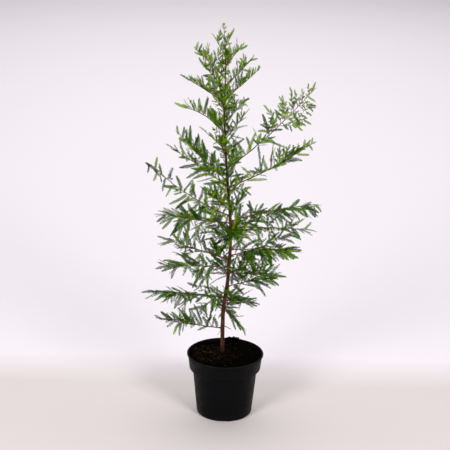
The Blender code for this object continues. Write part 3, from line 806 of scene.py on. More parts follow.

# %% [markdown]
# Young cypress bark is cinnamon brown on the strips that have just split, greyer where they have
# weathered, and darkest down in the cracks, whose near-black is partly painted shade. It is dull, like
# felt. Strips are about 2 mm wide and a few centimetres long, so the colour follows the same drawn-out
# noise as the relief. Towards the compost the bark turns darker, to nearly black at the foot. The thin
# limbs are smoother and a shade warmer, and this year's twigs are tan.

# %% Cypress bark
BARK_IOR = 1.45
BARK_ROUGHNESS = 0.85
BARK_SPECULAR = 0.3
STRIP_WIDTH = 0.0020
CRACK_SHADE_RANGE = (0.36, 0.6)
CRACK_STRENGTH = 0.8
WEATHERED_PATCH = 0.012
WEATHERED_RANGE = (0.5, 0.72)
WEATHERED_MOST = 0.7
DARK_FOOT_HEIGHT = 0.045
DARK_FOOT_MOST = 0.8
DARK_FOOT_COLOUR = "#0b0604"


def bark(name, crack_and_shade, strip, weathered, length, depth):
    """Bark in strips of a length, with cracks of a depth between them and a colour for each state; the
    crack colour is partly painted shade.
    """
    material, tree, shader, place = new_material(name, strip, BARK_ROUGHNESS, BARK_IOR, BARK_SPECULAR)
    scale = (1 / STRIP_WIDTH, 1 / STRIP_WIDTH, 1 / length)
    stretched = add_node(tree, "Mapping", {"Scale": scale}, {"Vector": place}).outputs[0]
    strips = noise_of(tree, stretched, 1, 6, 0.65)
    # The cracks take a darker colour, partly as painted shade.
    split = mix_of(tree, range_of(tree, strips, *CRACK_SHADE_RANGE), crack_and_shade, strip)
    patches = noise_of(tree, place, WEATHERED_PATCH, 4)
    age = range_of(tree, patches, *WEATHERED_RANGE, 0, WEATHERED_MOST)
    worn = mix_of(tree, age, split, weathered)
    height_of = add_node(tree, "SeparateXYZ", (), {0: place}).outputs["Z"]
    # The bark turns darker towards the compost, to nearly black at the foot.
    dark_foot = range_of(tree, height_of, SOIL_HEIGHT + DARK_FOOT_HEIGHT, SOIL_HEIGHT, 0, DARK_FOOT_MOST)
    tree.links.new(mix_of(tree, dark_foot, worn, DARK_FOOT_COLOUR), shader.inputs["Base Color"])
    tree.links.new(relief_of(tree, strips, CRACK_STRENGTH, depth), shader.inputs["Normal"])
    return material


trunk_bark = bark("fibrous_cypress_bark", "#140704", "#562b1c", "#6a4836", 0.030, 0.0007)
limb_bark = bark("thin_limb_bark", "#331a12", "#6b3e2a", "#7f5c46", 0.0045, 0.0003)
twig_bark = bark("tan_twig_bark", "#5a3626", "#8a5c3e", "#8f7350", 0.0030, 0.0002)
trunk.data.materials.append(trunk_bark)
dress(trunk, "bark", "trunk")

# %% [markdown]
# ## Limbs in wood
#
# Limbs and twigs are tapering tubes. Their rings come from one function on arrays: a centre line, a
# radius for each point of it and a number of sides give the corners and triangles of a closed tube.
# Each limb starts a little inside the trunk and swells there, as the collar of a real limb does.


# %% Tubes from arrays
def tube(centres, radii, sides):
    """A closed tube about a centre line that ends in points, as (points, triangles)."""
    centres, radii = np.asarray(centres), np.asarray(radii)
    along = np.gradient(centres, axis=0)
    along /= np.linalg.norm(along, axis=1)[:, None]
    up = np.array((0.0, 0.0, 1.0)) if abs(along[:, 2]).max() < 0.9 else np.array((0.3, 0.95, 0.1))
    side = np.cross(along, up)
    side /= np.linalg.norm(side, axis=1)[:, None]
    top = np.cross(side, along)
    angles = np.arange(sides) * math.tau / sides
    ring = side[:, None] * np.sin(angles)[None, :, None] + top[:, None] * np.cos(angles)[None, :, None]
    radii = radii[:, None] if radii.ndim == 1 else radii
    points = (centres[:, None] + ring * radii[:, :, None]).reshape(-1, 3)
    rows, count = len(centres), len(points)
    here = np.arange(sides)
    after = (here + 1) % sides
    first = (np.arange(rows - 1) * sides)[:, None]
    lower = np.stack([first + here, first + after, first + sides + after], axis=2)
    upper = np.stack([first + here, first + sides + after, first + sides + here], axis=2)
    root_cap = np.stack([here * 0 + count, after, here], axis=1)
    last = (rows - 1) * sides
    tip_cap = np.stack([here * 0 + count + 1, last + here, last + after], axis=1)
    ends = np.array([centres[0] - along[0] * radii[0].mean(), centres[-1] + along[-1] * radii[-1].mean()])
    triangles = np.vstack([lower.reshape(-1, 3), upper.reshape(-1, 3), root_cap, tip_cap])
    return np.vstack([points, ends]), triangles


# %% Model the limbs
LIMB_SIDES = 10
LIMB_STEP = 0.003
LIMB_WANDER = 0.0016
WANDERS_PER_METRE = 28
WANDER_GROWTH = 6
LIMB_FIBRE_DEPTH = 0.00022
LIMB_FIBRE_WIDTH = 0.002
LIMB_FIBRE_TURN = 2.1
LIMB_FIBRE_SPREAD = 0.01
LIMB_SEAT = 0.003
COLLAR_SWELL = 0.9
COLLAR_LENGTH = 0.004

# Without a seed the limbs would wander differently each time.
noise.seed_set(SEED)


def wandering(limb, t):
    """The limb's real centre line, which strays a little from the ideal one."""
    place = limb.at(t)
    stray = noise.noise_vector(place * WANDERS_PER_METRE) * LIMB_WANDER
    return place + stray * min(1.0, WANDER_GROWTH * max(t, 0))


def limb_tube(limb):
    """The wood of a limb, whose radius varies a little round each ring."""
    count = max(8, math.ceil(limb.length * limb.wood_end / LIMB_STEP))
    seat = LIMB_SEAT / limb.length
    shares = [(limb.wood_end + seat) * k / count - seat for k in range(count + 1)]
    centres = [wandering(limb, t) for t in shares]
    radii = []
    for t, centre in zip(shares, centres):
        swell = 1 + COLLAR_SWELL * math.exp(-max(t, 0) * limb.length / COLLAR_LENGTH)
        ring = []
        for k in range(LIMB_SIDES):
            turn = k * LIMB_FIBRE_TURN
            spot = centre + Vector((math.cos(turn), math.sin(turn), k)) * LIMB_FIBRE_SPREAD
            ring.append(limb.radius(t) * swell + LIMB_FIBRE_DEPTH * noise.noise(spot / LIMB_FIBRE_WIDTH))
        radii.append(ring)
    return tube(centres, radii, LIMB_SIDES)


boughs = [f"bough_{limb.number:02d}" for limb in limbs if limb.bough_end]
limb_wood = mesh_of_triangles("limb_bark", *joined([limb_tube(limb) for limb in limbs]), limb_bark)
limb_wood.data.shade_smooth()
dress(limb_wood, "bark", *boughs)

# %% [markdown]
# ## Sprays of needles
#
# A bald cypress carries its needles on soft shoots that fall in autumn, 5 to 10 cm long, with a row of
# flat needles down each side like a feather. One needle is a flat blade with a keel below: six corners
# and eight triangles, closed, so that it shades well from both sides. A spray is worked out as arrays:
# how far along the shoot each needle stands, its angle, which is widest near the root and closes at the
# tip, and its length, which is less at both ends.

# %% One needle and one spray
NEEDLE_LENGTH = 0.0086
SHORTEST_NEEDLE_SHARE = 0.34
FULL_NEEDLE_SPRAY = 0.055
NEEDLE_WIDTH = 0.0021
NEEDLE_KEEL = 0.0003
NEEDLE_PITCH = 0.0021
NEEDLE_POINTS = np.array(
    [
        (0.00, 0.00, -0.5),
        (0.16, 0.44, 0.5),
        (0.72, 0.42, 0.5),
        (1.00, 0.00, -0.1),
        (0.72, -0.42, 0.5),
        (0.16, -0.44, 0.5),
    ]
)
NEEDLE_TRIANGLES = np.array(
    [(0, 5, 1), (1, 5, 4), (1, 4, 2), (2, 4, 3), (0, 1, 2), (0, 2, 3), (0, 3, 4), (0, 4, 5)]
)
NEEDLE_LENGTHS = ((0, 0.12, 0.7, 0.92, 1), (0.65, 1, 0.96, 0.72, 0.4))
NEEDLE_ANGLES = ((0, 0.8, 1), (68, 54, 20))
NEEDLE_ANGLE_SCATTER = 7
NEEDLE_RAISE = (2, 44)
NEEDLE_TWIST = 24
BARE_STALK = 0.05
LAST_NEEDLE = 0.995
NEEDLE_LENGTH_SCATTER = (0.86, 1.1)
STALK_RADIUS = (0.00055, 0.00028)
STALK_SIDES = 3
STALK_RUN = 0.012

needle_rows = {}
stalks = []
twigs = []
scatter = np.random.default_rng(SEED + 1)


def unit(vectors):
    """Vectors of the same directions and of length one."""
    return vectors / np.linalg.norm(vectors, axis=-1, keepdims=True)


def add_spray(root, direction, facing, length, tone, bow):
    """One feather of needles from a root, along a direction that bends by bow on the way."""
    root, direction, facing, bow = (np.array(vector) for vector in (root, direction, facing, bow))
    rings = 3 + int(length / STALK_RUN)
    shares = np.linspace(0, 1, rings)[:, None]
    line = root + length * (direction * shares + bow * shares**2)
    stalks.append(tube(line, np.linspace(*STALK_RADIUS, rings), STALK_SIDES))
    count = 2 * max(4, round(length * (1 - BARE_STALK) / NEEDLE_PITCH))
    shares = np.linspace(BARE_STALK, LAST_NEEDLE, count)
    signs = np.where(np.arange(count) % 2, 1.0, -1.0)
    along = unit(direction + 2 * bow * shares[:, None])
    face = unit(facing - along * (along @ facing)[:, None])
    side = np.cross(along, face) * signs[:, None]
    angle = np.radians(
        np.interp(shares, *NEEDLE_ANGLES) + scatter.uniform(-1, 1, count) * NEEDLE_ANGLE_SCATTER
    )[:, None]
    lift = np.radians(scatter.uniform(*NEEDLE_RAISE, count))[:, None]
    way = along * np.cos(angle) + (side * np.cos(lift) + face * np.sin(lift)) * np.sin(angle)
    flat = unit(face - way * np.sum(face * way, axis=1, keepdims=True))
    twist = np.radians(scatter.uniform(-NEEDLE_TWIST, NEEDLE_TWIST, count))[:, None]
    flat = flat * np.cos(twist) + np.cross(way, flat) * np.sin(twist)
    roots = root + length * (direction * shares[:, None] + bow * shares[:, None] ** 2)
    grown = min(1.0, length / FULL_NEEDLE_SPRAY)
    full = NEEDLE_LENGTH * (SHORTEST_NEEDLE_SHARE + (1 - SHORTEST_NEEDLE_SHARE) * grown)
    lengths = full * np.interp(shares, *NEEDLE_LENGTHS)
    lengths = lengths * scatter.uniform(*NEEDLE_LENGTH_SCATTER, count)
    needle_rows.setdefault(tone, []).append(np.column_stack([roots, way, flat, lengths]))


def needles_of(rows):
    """All needles of one tone, as (points, triangles)."""
    roots, way, flat, lengths = np.split(rows[:, None], (3, 6, 9), axis=2)
    across = np.cross(way, flat)
    x, y, z = (NEEDLE_POINTS[None, :, k, None] for k in range(3))
    points = roots + way * x * lengths + across * y * NEEDLE_WIDTH + flat * z * NEEDLE_KEEL
    offsets = np.arange(len(rows)) * len(NEEDLE_POINTS)
    triangles = (NEEDLE_TRIANGLES[None] + offsets[:, None, None]).reshape(-1, 3)
    return points.reshape(-1, 3), triangles


print("a 70 mm spray has about", 2 * round(0.07 / NEEDLE_PITCH), "needles")

# %% [markdown]
# ## How the sprays grow
#
# Sprays stand left and right of a limb in turn. Their angle to it closes towards the tip, they rise
# more the higher the limb is, and they shrink near both ends. On a long limb every third shoot is a
# side twig with sprays of its own. This is the rule of the solids with the same random draws, so a
# spray here starts where a blade starts there. Between every two of them grow a few more, and each side
# twig, which is a single toothed blade in the solids, becomes a stem with sprays on both sides.

# %% The growing rule
SHOOT_STEP = 0.0205
SPRAY_LENGTH = 0.092
FAN_EVERY = 3
FAN_LEAST_REACH = 0.15
FAN_LAST_SHARE = 0.8
FAN_SHARE = 0.36
FAN_TAPER_FROM = 1.35
FAN_GREATEST = 0.130
FOLIAGE_START = 0.02
LEAST_SIZE = 0.62
FULL_SIZE_REACH = 0.26
ROOT_FADE = 0.22
ROOT_FADE_END = 0.3
TIP_FADE = 0.38
TIP_FADE_START = 0.55
SIZE_SCATTER = (0.86, 1.12)
SPREAD_AT_ROOT = 66
SPREAD_AT_TIP = 34
SPREAD_SCATTER = 9
LIFT_LOW = 18
LIFT_HIGH = 52
LIFT_SCATTER = 48
LIFT_FROM = 0.50
LIFT_TO = 1.15
ROLL_SCATTER = 62
TIP_ROLL_SCATTER = 50
LEAST_UPWARD_FACING = 0.3


def fade(share):
    """How much of its full size a spray has at a share of the way along the foliage."""
    at_root = ROOT_FADE * (1 - min(1, share / ROOT_FADE_END))
    at_tip = TIP_FADE * max(0, share - TIP_FADE_START) / (1 - TIP_FADE_START)
    return 1 - at_root - at_tip


def turned_away(direction, side, up, spread, lift):
    """A direction that leaves another by the angle spread, to one side and lifted."""
    across = side * math.cos(lift) + up * math.sin(lift)
    return (direction * math.cos(spread) + across * math.sin(spread)).normalized()


def shoot_from(along, side_sign, spread, lift, roll):
    """The direction of a shoot and the way its face looks."""
    side = along.cross(Vector((0, 0, 1))).normalized() * side_sign
    up = Vector((0, 0, 1)) - along * along.z
    up.normalize()
    direction = turned_away(along, side, up, math.radians(spread), math.radians(lift))
    facing = up - direction * up.dot(direction)
    if facing.length < LEAST_UPWARD_FACING:
        facing = side - direction * side.dot(direction)
    facing.normalize()
    return direction, Matrix.Rotation(math.radians(roll), 3, direction) @ facing


# %% [markdown]
# The greens differ from spray to spray by chance, and they are also dealt by height as painted light.
# Yellow-green, the colour of young shoots and of painted sunlight, is most common high in the crown,
# and deep green, which is painted shade, and a dull grey-green are more common lower down. Each spray is
# dealt one tone, and all sprays of a tone become one piece with a plain colour.

# %% Tones and the bend of a spray
TONES = ("fresh", "bright", "leaf", "deep", "grey")
# From this height up the tones turn lighter over the height that follows, as painted sunlight on the upper
# crown.
SUNLIT_TONES_FROM = 0.45
SUNLIT_TONES_OVER = 0.85
# The bend at a spray's tip, least and most, as a share of its length.
SPRAY_CURL = (-0.12, 0.22)
SPRAY_SWAY = (-0.2, 0.2)
SPRAY_DROOP = (-0.22, 0.05)
FINE = random.Random()


def pick_tone_with_painted_sunlight(height, share):
    """A tone by chance, yellower towards the tips, and lighter towards the top of the crown as painted
    sunlight.
    """
    # Higher up the fresh and bright tones gain on the deep one: painted sunlight above, painted shade
    # below.
    high = min(1.0, max(0.0, (height - SUNLIT_TONES_FROM) / SUNLIT_TONES_OVER))
    weights = (
        0.02 + (0.4 * share + 0.34) * high * high,
        0.24 + 0.15 * high,
        0.34 - 0.1 * high,
        0.25 - 0.18 * high,
        0.14 - 0.13 * high,
    )
    return FINE.choices(TONES, weights)[0]


def bend_of(direction, facing):
    """How a spray bends: its face curls up, it sways aside, and a level one droops."""
    side = direction.cross(facing)
    level = 1 - abs(direction.z)
    bow = facing * FINE.uniform(*SPRAY_CURL) + side * FINE.uniform(*SPRAY_SWAY)
    return bow + Vector((0, 0, FINE.uniform(*SPRAY_DROOP))) * level


def rolled(facing, direction, least, most):
    """A face rolled about a direction by chance, between two angles in degrees."""
    return Matrix.Rotation(math.radians(FINE.uniform(least, most)), 3, direction) @ facing


def grow_spray(root, direction, facing, length, share):
    """A spray with a tone and a bend by chance. Share is how far out on the limb it stands."""
    tone = pick_tone_with_painted_sunlight(root.z, share)
    add_spray(root, direction, facing, length, tone, bend_of(direction, facing))


# %% Side twigs
SIDE_TWIG_WOOD = 0.64
SIDE_TWIG_STEP = 0.0084
SIDE_TWIG_LEAST_STEP = 0.0058
SIDE_TWIG_SPRAY = (0.50, 0.36)
SIDE_TWIG_SPREAD = (60, 40)
SIDE_TWIG_LIFT = 16
SIDE_TWIG_RADIUS = (0.0011, 0.0005)
SIDE_TWIG_SIDES = 5
SIDE_TWIG_RINGS = 7
SIDE_TWIG_START = 0.14
SIDE_TWIG_CURL = 0.18
SIDE_TWIG_SWAY = 0.16
SIDE_TWIG_SPREAD_SCATTER = 8
SIDE_TWIG_ROLL_SCATTER = 35
SIDE_TWIG_SIZE_SCATTER = (0.75, 1.15)
LONG_TWIG = 0.10


def grow_side_twig(root, direction, facing, length, width=1.0):
    """A stem with sprays left and right of it, all near one plane. Width scales the sprays."""
    side = direction.cross(facing)
    bow = facing * FINE.uniform(-SIDE_TWIG_CURL, SIDE_TWIG_CURL)
    bow += side * FINE.uniform(-SIDE_TWIG_SWAY, SIDE_TWIG_SWAY)

    def at(share):
        return root + (direction * share + bow * share * share) * length

    rings = [at(SIDE_TWIG_WOOD * k / (SIDE_TWIG_RINGS - 1)) for k in range(SIDE_TWIG_RINGS)]
    twigs.append(tube(rings, np.linspace(*SIDE_TWIG_RADIUS, SIDE_TWIG_RINGS), SIDE_TWIG_SIDES))
    step = SIDE_TWIG_LEAST_STEP + (SIDE_TWIG_STEP - SIDE_TWIG_LEAST_STEP) * min(1, length / LONG_TWIG)
    count = max(3, round(length * (SIDE_TWIG_WOOD - SIDE_TWIG_START) / step))
    for k in range(count):
        share = (k + 0.5) / count
        s = SIDE_TWIG_START + (SIDE_TWIG_WOOD - SIDE_TWIG_START) * share
        spread = SIDE_TWIG_SPREAD[0] + (SIDE_TWIG_SPREAD[1] - SIDE_TWIG_SPREAD[0]) * share
        spread += FINE.uniform(-SIDE_TWIG_SPREAD_SCATTER, SIDE_TWIG_SPREAD_SCATTER)
        lift = math.radians(FINE.uniform(-SIDE_TWIG_LIFT, SIDE_TWIG_LIFT))
        along = (direction + bow * 2 * s).normalized()
        way = turned_away(along, side * (1 if k % 2 else -1), facing, math.radians(spread), lift)
        face = (facing - way * facing.dot(way)).normalized()
        face = rolled(face, way, -SIDE_TWIG_ROLL_SCATTER, SIDE_TWIG_ROLL_SCATTER)
        size = SIDE_TWIG_SPRAY[0] + (SIDE_TWIG_SPRAY[1] - SIDE_TWIG_SPRAY[0]) * share
        grow_spray(at(s), way, face, length * size * width * FINE.uniform(*SIDE_TWIG_SIZE_SCATTER), share)
    tip = (direction + bow * 2 * SIDE_TWIG_WOOD).normalized()
    face = (facing - tip * facing.dot(tip)).normalized()
    grow_spray(at(SIDE_TWIG_WOOD), tip, face, length * (1 - SIDE_TWIG_WOOD), 1)


# %% [markdown]
# The finer growth follows the photograph limb by limb. Low in the crown it lies level or hangs, at the
# top it stands up in short fingers. High up, many of the shoots that are one blade in the solids carry
# short sprays of their own. Some limbs have habits: a few hang more or rise more than the rule says,
# the long ones on the upper right are bare near the trunk, and the small ones beside them are sparse.
# Where a spray stands out against the sky in the photograph, it is placed as listed.

# %% The finer growth
# By height: the size of the finer shoots as a share of the rule's, their lift and its scatter in degrees.
FINE_HEIGHTS = (0.45, 0.70, 0.85, 0.95, 1.15, 1.35)
FINE_SIZES = (0.74, 0.74, 0.68, 0.56, 0.46, 0.36)
FINE_LIFTS = (-14, -14, 4, 26, 52, 60)
FINE_LIFT_SCATTERS = (50, 54, 44, 38, 36, 34)
FINE_SIZE_SCATTER = (0.78, 1.2)
TWIG_SHARE = 0.27
TWIG_LEAST_REACH = 0.13
TUFTED_FROM = 0.93
TUFTED_SHARE = 0.6
# Finer shoots in each gap, lift added to all shoots, share where the finer ones begin, size of all shoots.
USUAL_HABIT = (3, 0, 0.0, 1.0)
HABITS = {
    1: (3, 44, 0.45, 0.9),
    3: (0, 0, 0.0, 0.5),
    4: (3, 0, 0.0, 0.9),
    5: (2, -26, 0.10, 0.80),
    6: (1, 10, 0.0, 0.85),
    9: (3, 26, 0.0, 0.95),
    10: (2, 0, 0.0, 0.95),
    11: (2, 22, 0.0, 0.92),
    12: (1, -12, 0.0, 0.85),
    13: (3, -10, 0.0, 1.0),
    17: (1, -14, 0.0, 0.87),
    19: (2, -58, 0.0, 0.9),
    20: (0, -22, 0.2, 0.58),
    21: (1, 0, 0.0, 0.75),
    22: (2, 0, 0.0, 0.85),
    23: (1, 0, 0.0, 0.85),
    24: (0, 0, 0.0, 0.42),
    25: (3, 14, 0.40, 0.85),
    26: (2, -12, 0.0, 0.88),
    27: (3, 10, 0.0, 0.95),
    28: (0, -6, 0.30, 0.72),
    29: (0, 0, 0.0, 0.5),
    30: (1, 0, 0.0, 0.7),
    31: (0, 0, 0.0, 0.42),
    32: (2, 0, 0.0, 0.9),
    33: (2, 38, 0.0, 0.8),
    37: (2, 0, 0.0, 0.85),
}
# Sprays that stand out in the photograph, by limb. Each has its share of the way along the limb in per
# cent, its turn in degrees as seen from the front (0 is right, 90 is up), its lean away from the viewer
# in degrees, and its length in millimetres.
CLEAR_SPRAYS = (
    (1, (88, 150, -10, 34), (74, 146, 15, 52), (64, 140, -20, 62), (54, 150, 10, 62),
     (42, 132, -15, 56), (48, 118, -10, 70), (36, 140, 20, 60), (30, 122, 10, 66), (62, 238, 10, 48),
     (60, 262, -10, 45), (55, 258, -15, 30), (20, 100, -10, 50), (12, 84, 10, 45), (20, 196, -10, 36)),
    (3, (2, -52, -10, 98), (10, -58, 10, 90), (28, -48, -15, 70), (75, -60, 10, 46)),
    (4, (42, 24, 10, 40), (55, -22, -10, 46), (72, -32, 15, 34)),
    (5, (82, 204, -15, 48), (66, 212, 20, 58), (83, 158, 10, 30), (70, 156, -10, 40),
     (50, 158, 10, 44), (58, 166, -10, 50), (72, 192, 10, 46), (50, 244, -15, 62), (40, 238, 15, 70),
     (45, 262, -10, 60), (56, 196, -10, 40), (44, 280, 10, 32), (40, 322, -10, 35),
     (52, 296, 10, 40), (36, 250, 10, 40), (30, 215, -15, 45), (24, 240, 15, 45)),
    (6, (25, 262, -10, 55), (35, 255, -10, 55), (50, 270, 0, 60), (80, 200, 10, 56)),
    (7, (82, -32, -10, 42), (66, -26, 15, 60), (50, -36, -15, 70), (34, -30, 15, 70)),
    (9, (72, 55, -10, 60), (60, 65, 15, 60)),
    (10, (44, 84, -10, 45), (42, 250, -15, 50), (36, 95, 10, 45), (36, 262, 10, 50),
     (80, 166, 15, 50), (66, 152, -15, 56), (50, 144, 20, 60), (38, 132, -15, 60)),
    (8, (4, 190, -10, 78)),
    (10, (34, 240, -10, 88), (26, 252, 15, 82), (20, 226, -20, 94), (30, 120, 10, 52),
     (20, 132, -15, 52)),
    (11, (35, 228, -15, 52), (50, 70, -10, 50), (55, 100, 15, 55), (62, 84, 10, 50)),
    (12, (8, -74, -10, 62), (18, -60, 10, 66), (26, -78, -15, 60), (12, -30, 15, 70),
     (20, 10, -15, 60), (30, -20, -15, 70), (46, -14, 10, 62), (60, -6, -10, 60), (74, 2, 15, 56),
     (84, 12, -10, 44), (90, -20, 10, 40)),
    (13, (80, 14, -10, 48), (70, 20, 10, 55), (5, 58, -20, 70), (14, 44, 15, 72), (12, -50, 15, 75),
     (22, -64, -15, 80), (30, -82, -10, 66), (40, -74, 15, 68), (52, -80, -10, 60),
     (34, -40, 10, 75), (46, -58, 20, 70), (60, -26, -15, 62), (67, -30, 10, 60), (76, -22, -15, 50)),
    (15, (35, 40, 10, 70), (24, 68, -10, 60)),
    (16, (20, -30, -20, 70), (45, -50, -30, 70), (35, -10, 15, 60)),
    (17, (24, -62, 10, 60), (30, -80, -15, 55), (70, -60, 10, 58), (84, -28, -10, 38),
     (86, 42, 15, 34)),
    (18, (32, 100, -10, 50), (26, 78, 15, 55), (48, 84, -15, 55), (38, 96, 10, 55),
     (42, 118, -10, 68), (52, 128, 15, 60), (54, 262, -15, 88), (62, 250, 20, 82), (34, 132, 15, 72),
     (44, 146, -20, 68), (50, 222, 10, 84), (58, 244, -15, 80), (66, 256, 15, 75),
     (74, 236, -15, 56), (84, 226, 15, 40)),
    (19, (4, 98, -10, 46), (7, 78, 10, 55), (12, 60, -15, 55), (64, 48, 10, 48), (80, -8, -15, 60),
     (92, -70, -10, 44), (84, -62, 10, 52), (88, -66, -15, 46), (93, -40, 10, 36), (79, -70, 15, 52)),
    (20, (95, 274, -10, 30), (90, 300, -10, 34), (88, 76, 10, 44), (86, 262, 10, 40),
     (76, 250, -10, 45), (66, 240, 10, 50), (82, 286, 10, 36), (80, 104, -15, 44), (73, 72, -15, 60),
     (58, 172, 10, 62), (54, 48, 10, 52), (47, 74, -10, 56), (40, 112, 15, 52), (36, 66, -15, 60),
     (27, 92, 10, 64), (20, 78, -10, 70), (30, 250, -10, 60), (62, 188, 15, 48), (46, 230, 20, 84),
     (50, 218, -10, 72), (42, 200, 15, 80), (34, 222, -15, 75), (26, 206, 15, 72)),
    (21, (10, 20, -15, 45), (2, 100, 10, 50), (6, 58, -15, 55), (16, 96, -10, 50), (30, 80, 10, 45),
     (50, 60, -10, 40)),
    (25, (20, 7, -15, 80)),
    (22, (45, 150, 10, 50), (35, 170, -15, 50), (20, 165, 10, 45)),
    (25, (12, 105, 10, 48), (27, 125, -15, 58), (45, 24, -20, 50), (44, 100, -10, 50),
     (50, 14, 15, 58), (56, 22, 20, 60), (62, 10, -10, 56), (68, 12, -15, 56), (78, -8, 10, 45),
     (86, 75, 15, 34), (90, 58, -10, 30), (93, -46, 10, 22), (96, 84, 10, 20), (60, 96, -10, 40),
     (73, 70, 15, 38)),
    (26, (50, 200, 10, 60), (40, 208, -15, 66), (30, 202, 20, 64), (20, 200, 10, 60),
     (8, 190, -10, 64)),
    (27, (30, 184, -15, 60), (92, 108, -10, 34), (86, 70, 10, 38), (80, 80, -15, 44),
     (70, 94, 15, 72), (74, 76, 10, 46), (66, 66, 10, 50), (56, 122, -15, 55), (60, 88, -20, 76),
     (50, 102, 10, 78), (40, 96, -15, 70)),
    (28, (12, 104, 10, 72), (20, 118, -10, 86), (16, 108, -15, 60), (22, 72, -10, 94),
     (35, -78, -10, 94), (34, 84, -15, 48), (41, -16, 20, 82), (47, 106, 15, 76), (45, -32, -15, 36),
     (62, -60, 10, 30), (74, -60, 10, 56), (68, -46, -20, 66), (90, -36, -10, 30), (94, 58, 10, 36)),
    (33, (60, 100, -10, 42), (50, 88, 10, 50), (33, 76, -15, 50), (41, 80, 15, 60),
     (25, 98, -15, 48), (18, 94, 10, 52), (16, 124, -10, 50), (10, 68, 10, 55), (12, 110, -10, 52),
     (7, 100, 15, 58)),
    (37, (45, 125, 15, 48), (38, 112, -15, 56), (30, 104, 10, 62), (20, 116, -10, 56),
     (14, 106, 10, 58)),
    (39, (30, 150, -10, 48), (18, 164, 15, 50)),
    (38, (70, 96, 10, 30), (80, 82, -10, 26), (90, 74, 10, 20)),
    (40, (94, 20, -10, 24), (90, 58, 15, 28), (76, 94, 10, 34), (62, 104, -15, 38), (62, -8, -15, 30)),
    (41, (90, 88, -15, 32), (82, 70, 10, 32), (72, 152, 15, 30), (66, 100, -15, 34),
     (56, 96, 10, 36), (46, 84, 15, 36)),
    (43, (70, 22, 10, 32), (56, 64, -10, 34)),
)
# Side twigs with short tufts that stand out in the photograph, written the same way.
CLEAR_TWIGS = (
    (5, (8, 147, -10, 122)),
    (9, (16, 60, 20, 85), (32, 72, -15, 85), (48, 62, 15, 78)),
    (28, (68, 104, -10, 85), (72, 88, 10, 70), (79, 104, 15, 60), (88, 70, 10, 40),
     (80, -38, 10, 62), (86, -48, -10, 50), (57, 116, 15, 90), (58, -7, 25, 110), (64, 93, -20, 104),
     (66, -20, 10, 72), (70, -12, -10, 80), (74, 98, 15, 84), (75, -26, -15, 52), (80, -3, 20, 62),
     (84, -16, -10, 48), (83, 84, -10, 58), (92, 98, 10, 36)),
)
CLEAR_TWIG_WIDTH = 0.52
# How far the face of a placed shoot is rolled about it, in degrees. At 90 it looks at the viewer.
CLEAR_SPRAY_ROLLS = (30, 150)
CLEAR_TWIG_ROLLS = (50, 130)


def grow_between(limb, t, share, side_sign, spread, full_size, as_twig):
    """One more shoot between two of the solid's, with draws of its own."""
    _, more_lift, _, habit_size = HABITS.get(limb.number, USUAL_HABIT)
    spread += FINE.uniform(-SPREAD_SCATTER, SPREAD_SCATTER)
    lift = more_lift + np.interp(limb.height, FINE_HEIGHTS, FINE_LIFTS)
    scatter_range = np.interp(limb.height, FINE_HEIGHTS, FINE_LIFT_SCATTERS)
    lift += FINE.uniform(-scatter_range, scatter_range)
    roll = FINE.uniform(-ROLL_SCATTER, ROLL_SCATTER)
    direction, facing = shoot_from(limb.along(t), side_sign, spread, lift, roll)
    size = habit_size * np.interp(limb.height, FINE_HEIGHTS, FINE_SIZES) * FINE.uniform(*FINE_SIZE_SCATTER)
    if as_twig:
        length = min(FAN_GREATEST, limb.length * TWIG_SHARE * (FAN_TAPER_FROM - share))
        grow_side_twig(wandering(limb, t), direction, facing, length * habit_size)
    else:
        length = SPRAY_LENGTH * full_size * fade(share) * size
        grow_spray(wandering(limb, t), direction, facing, length, share)


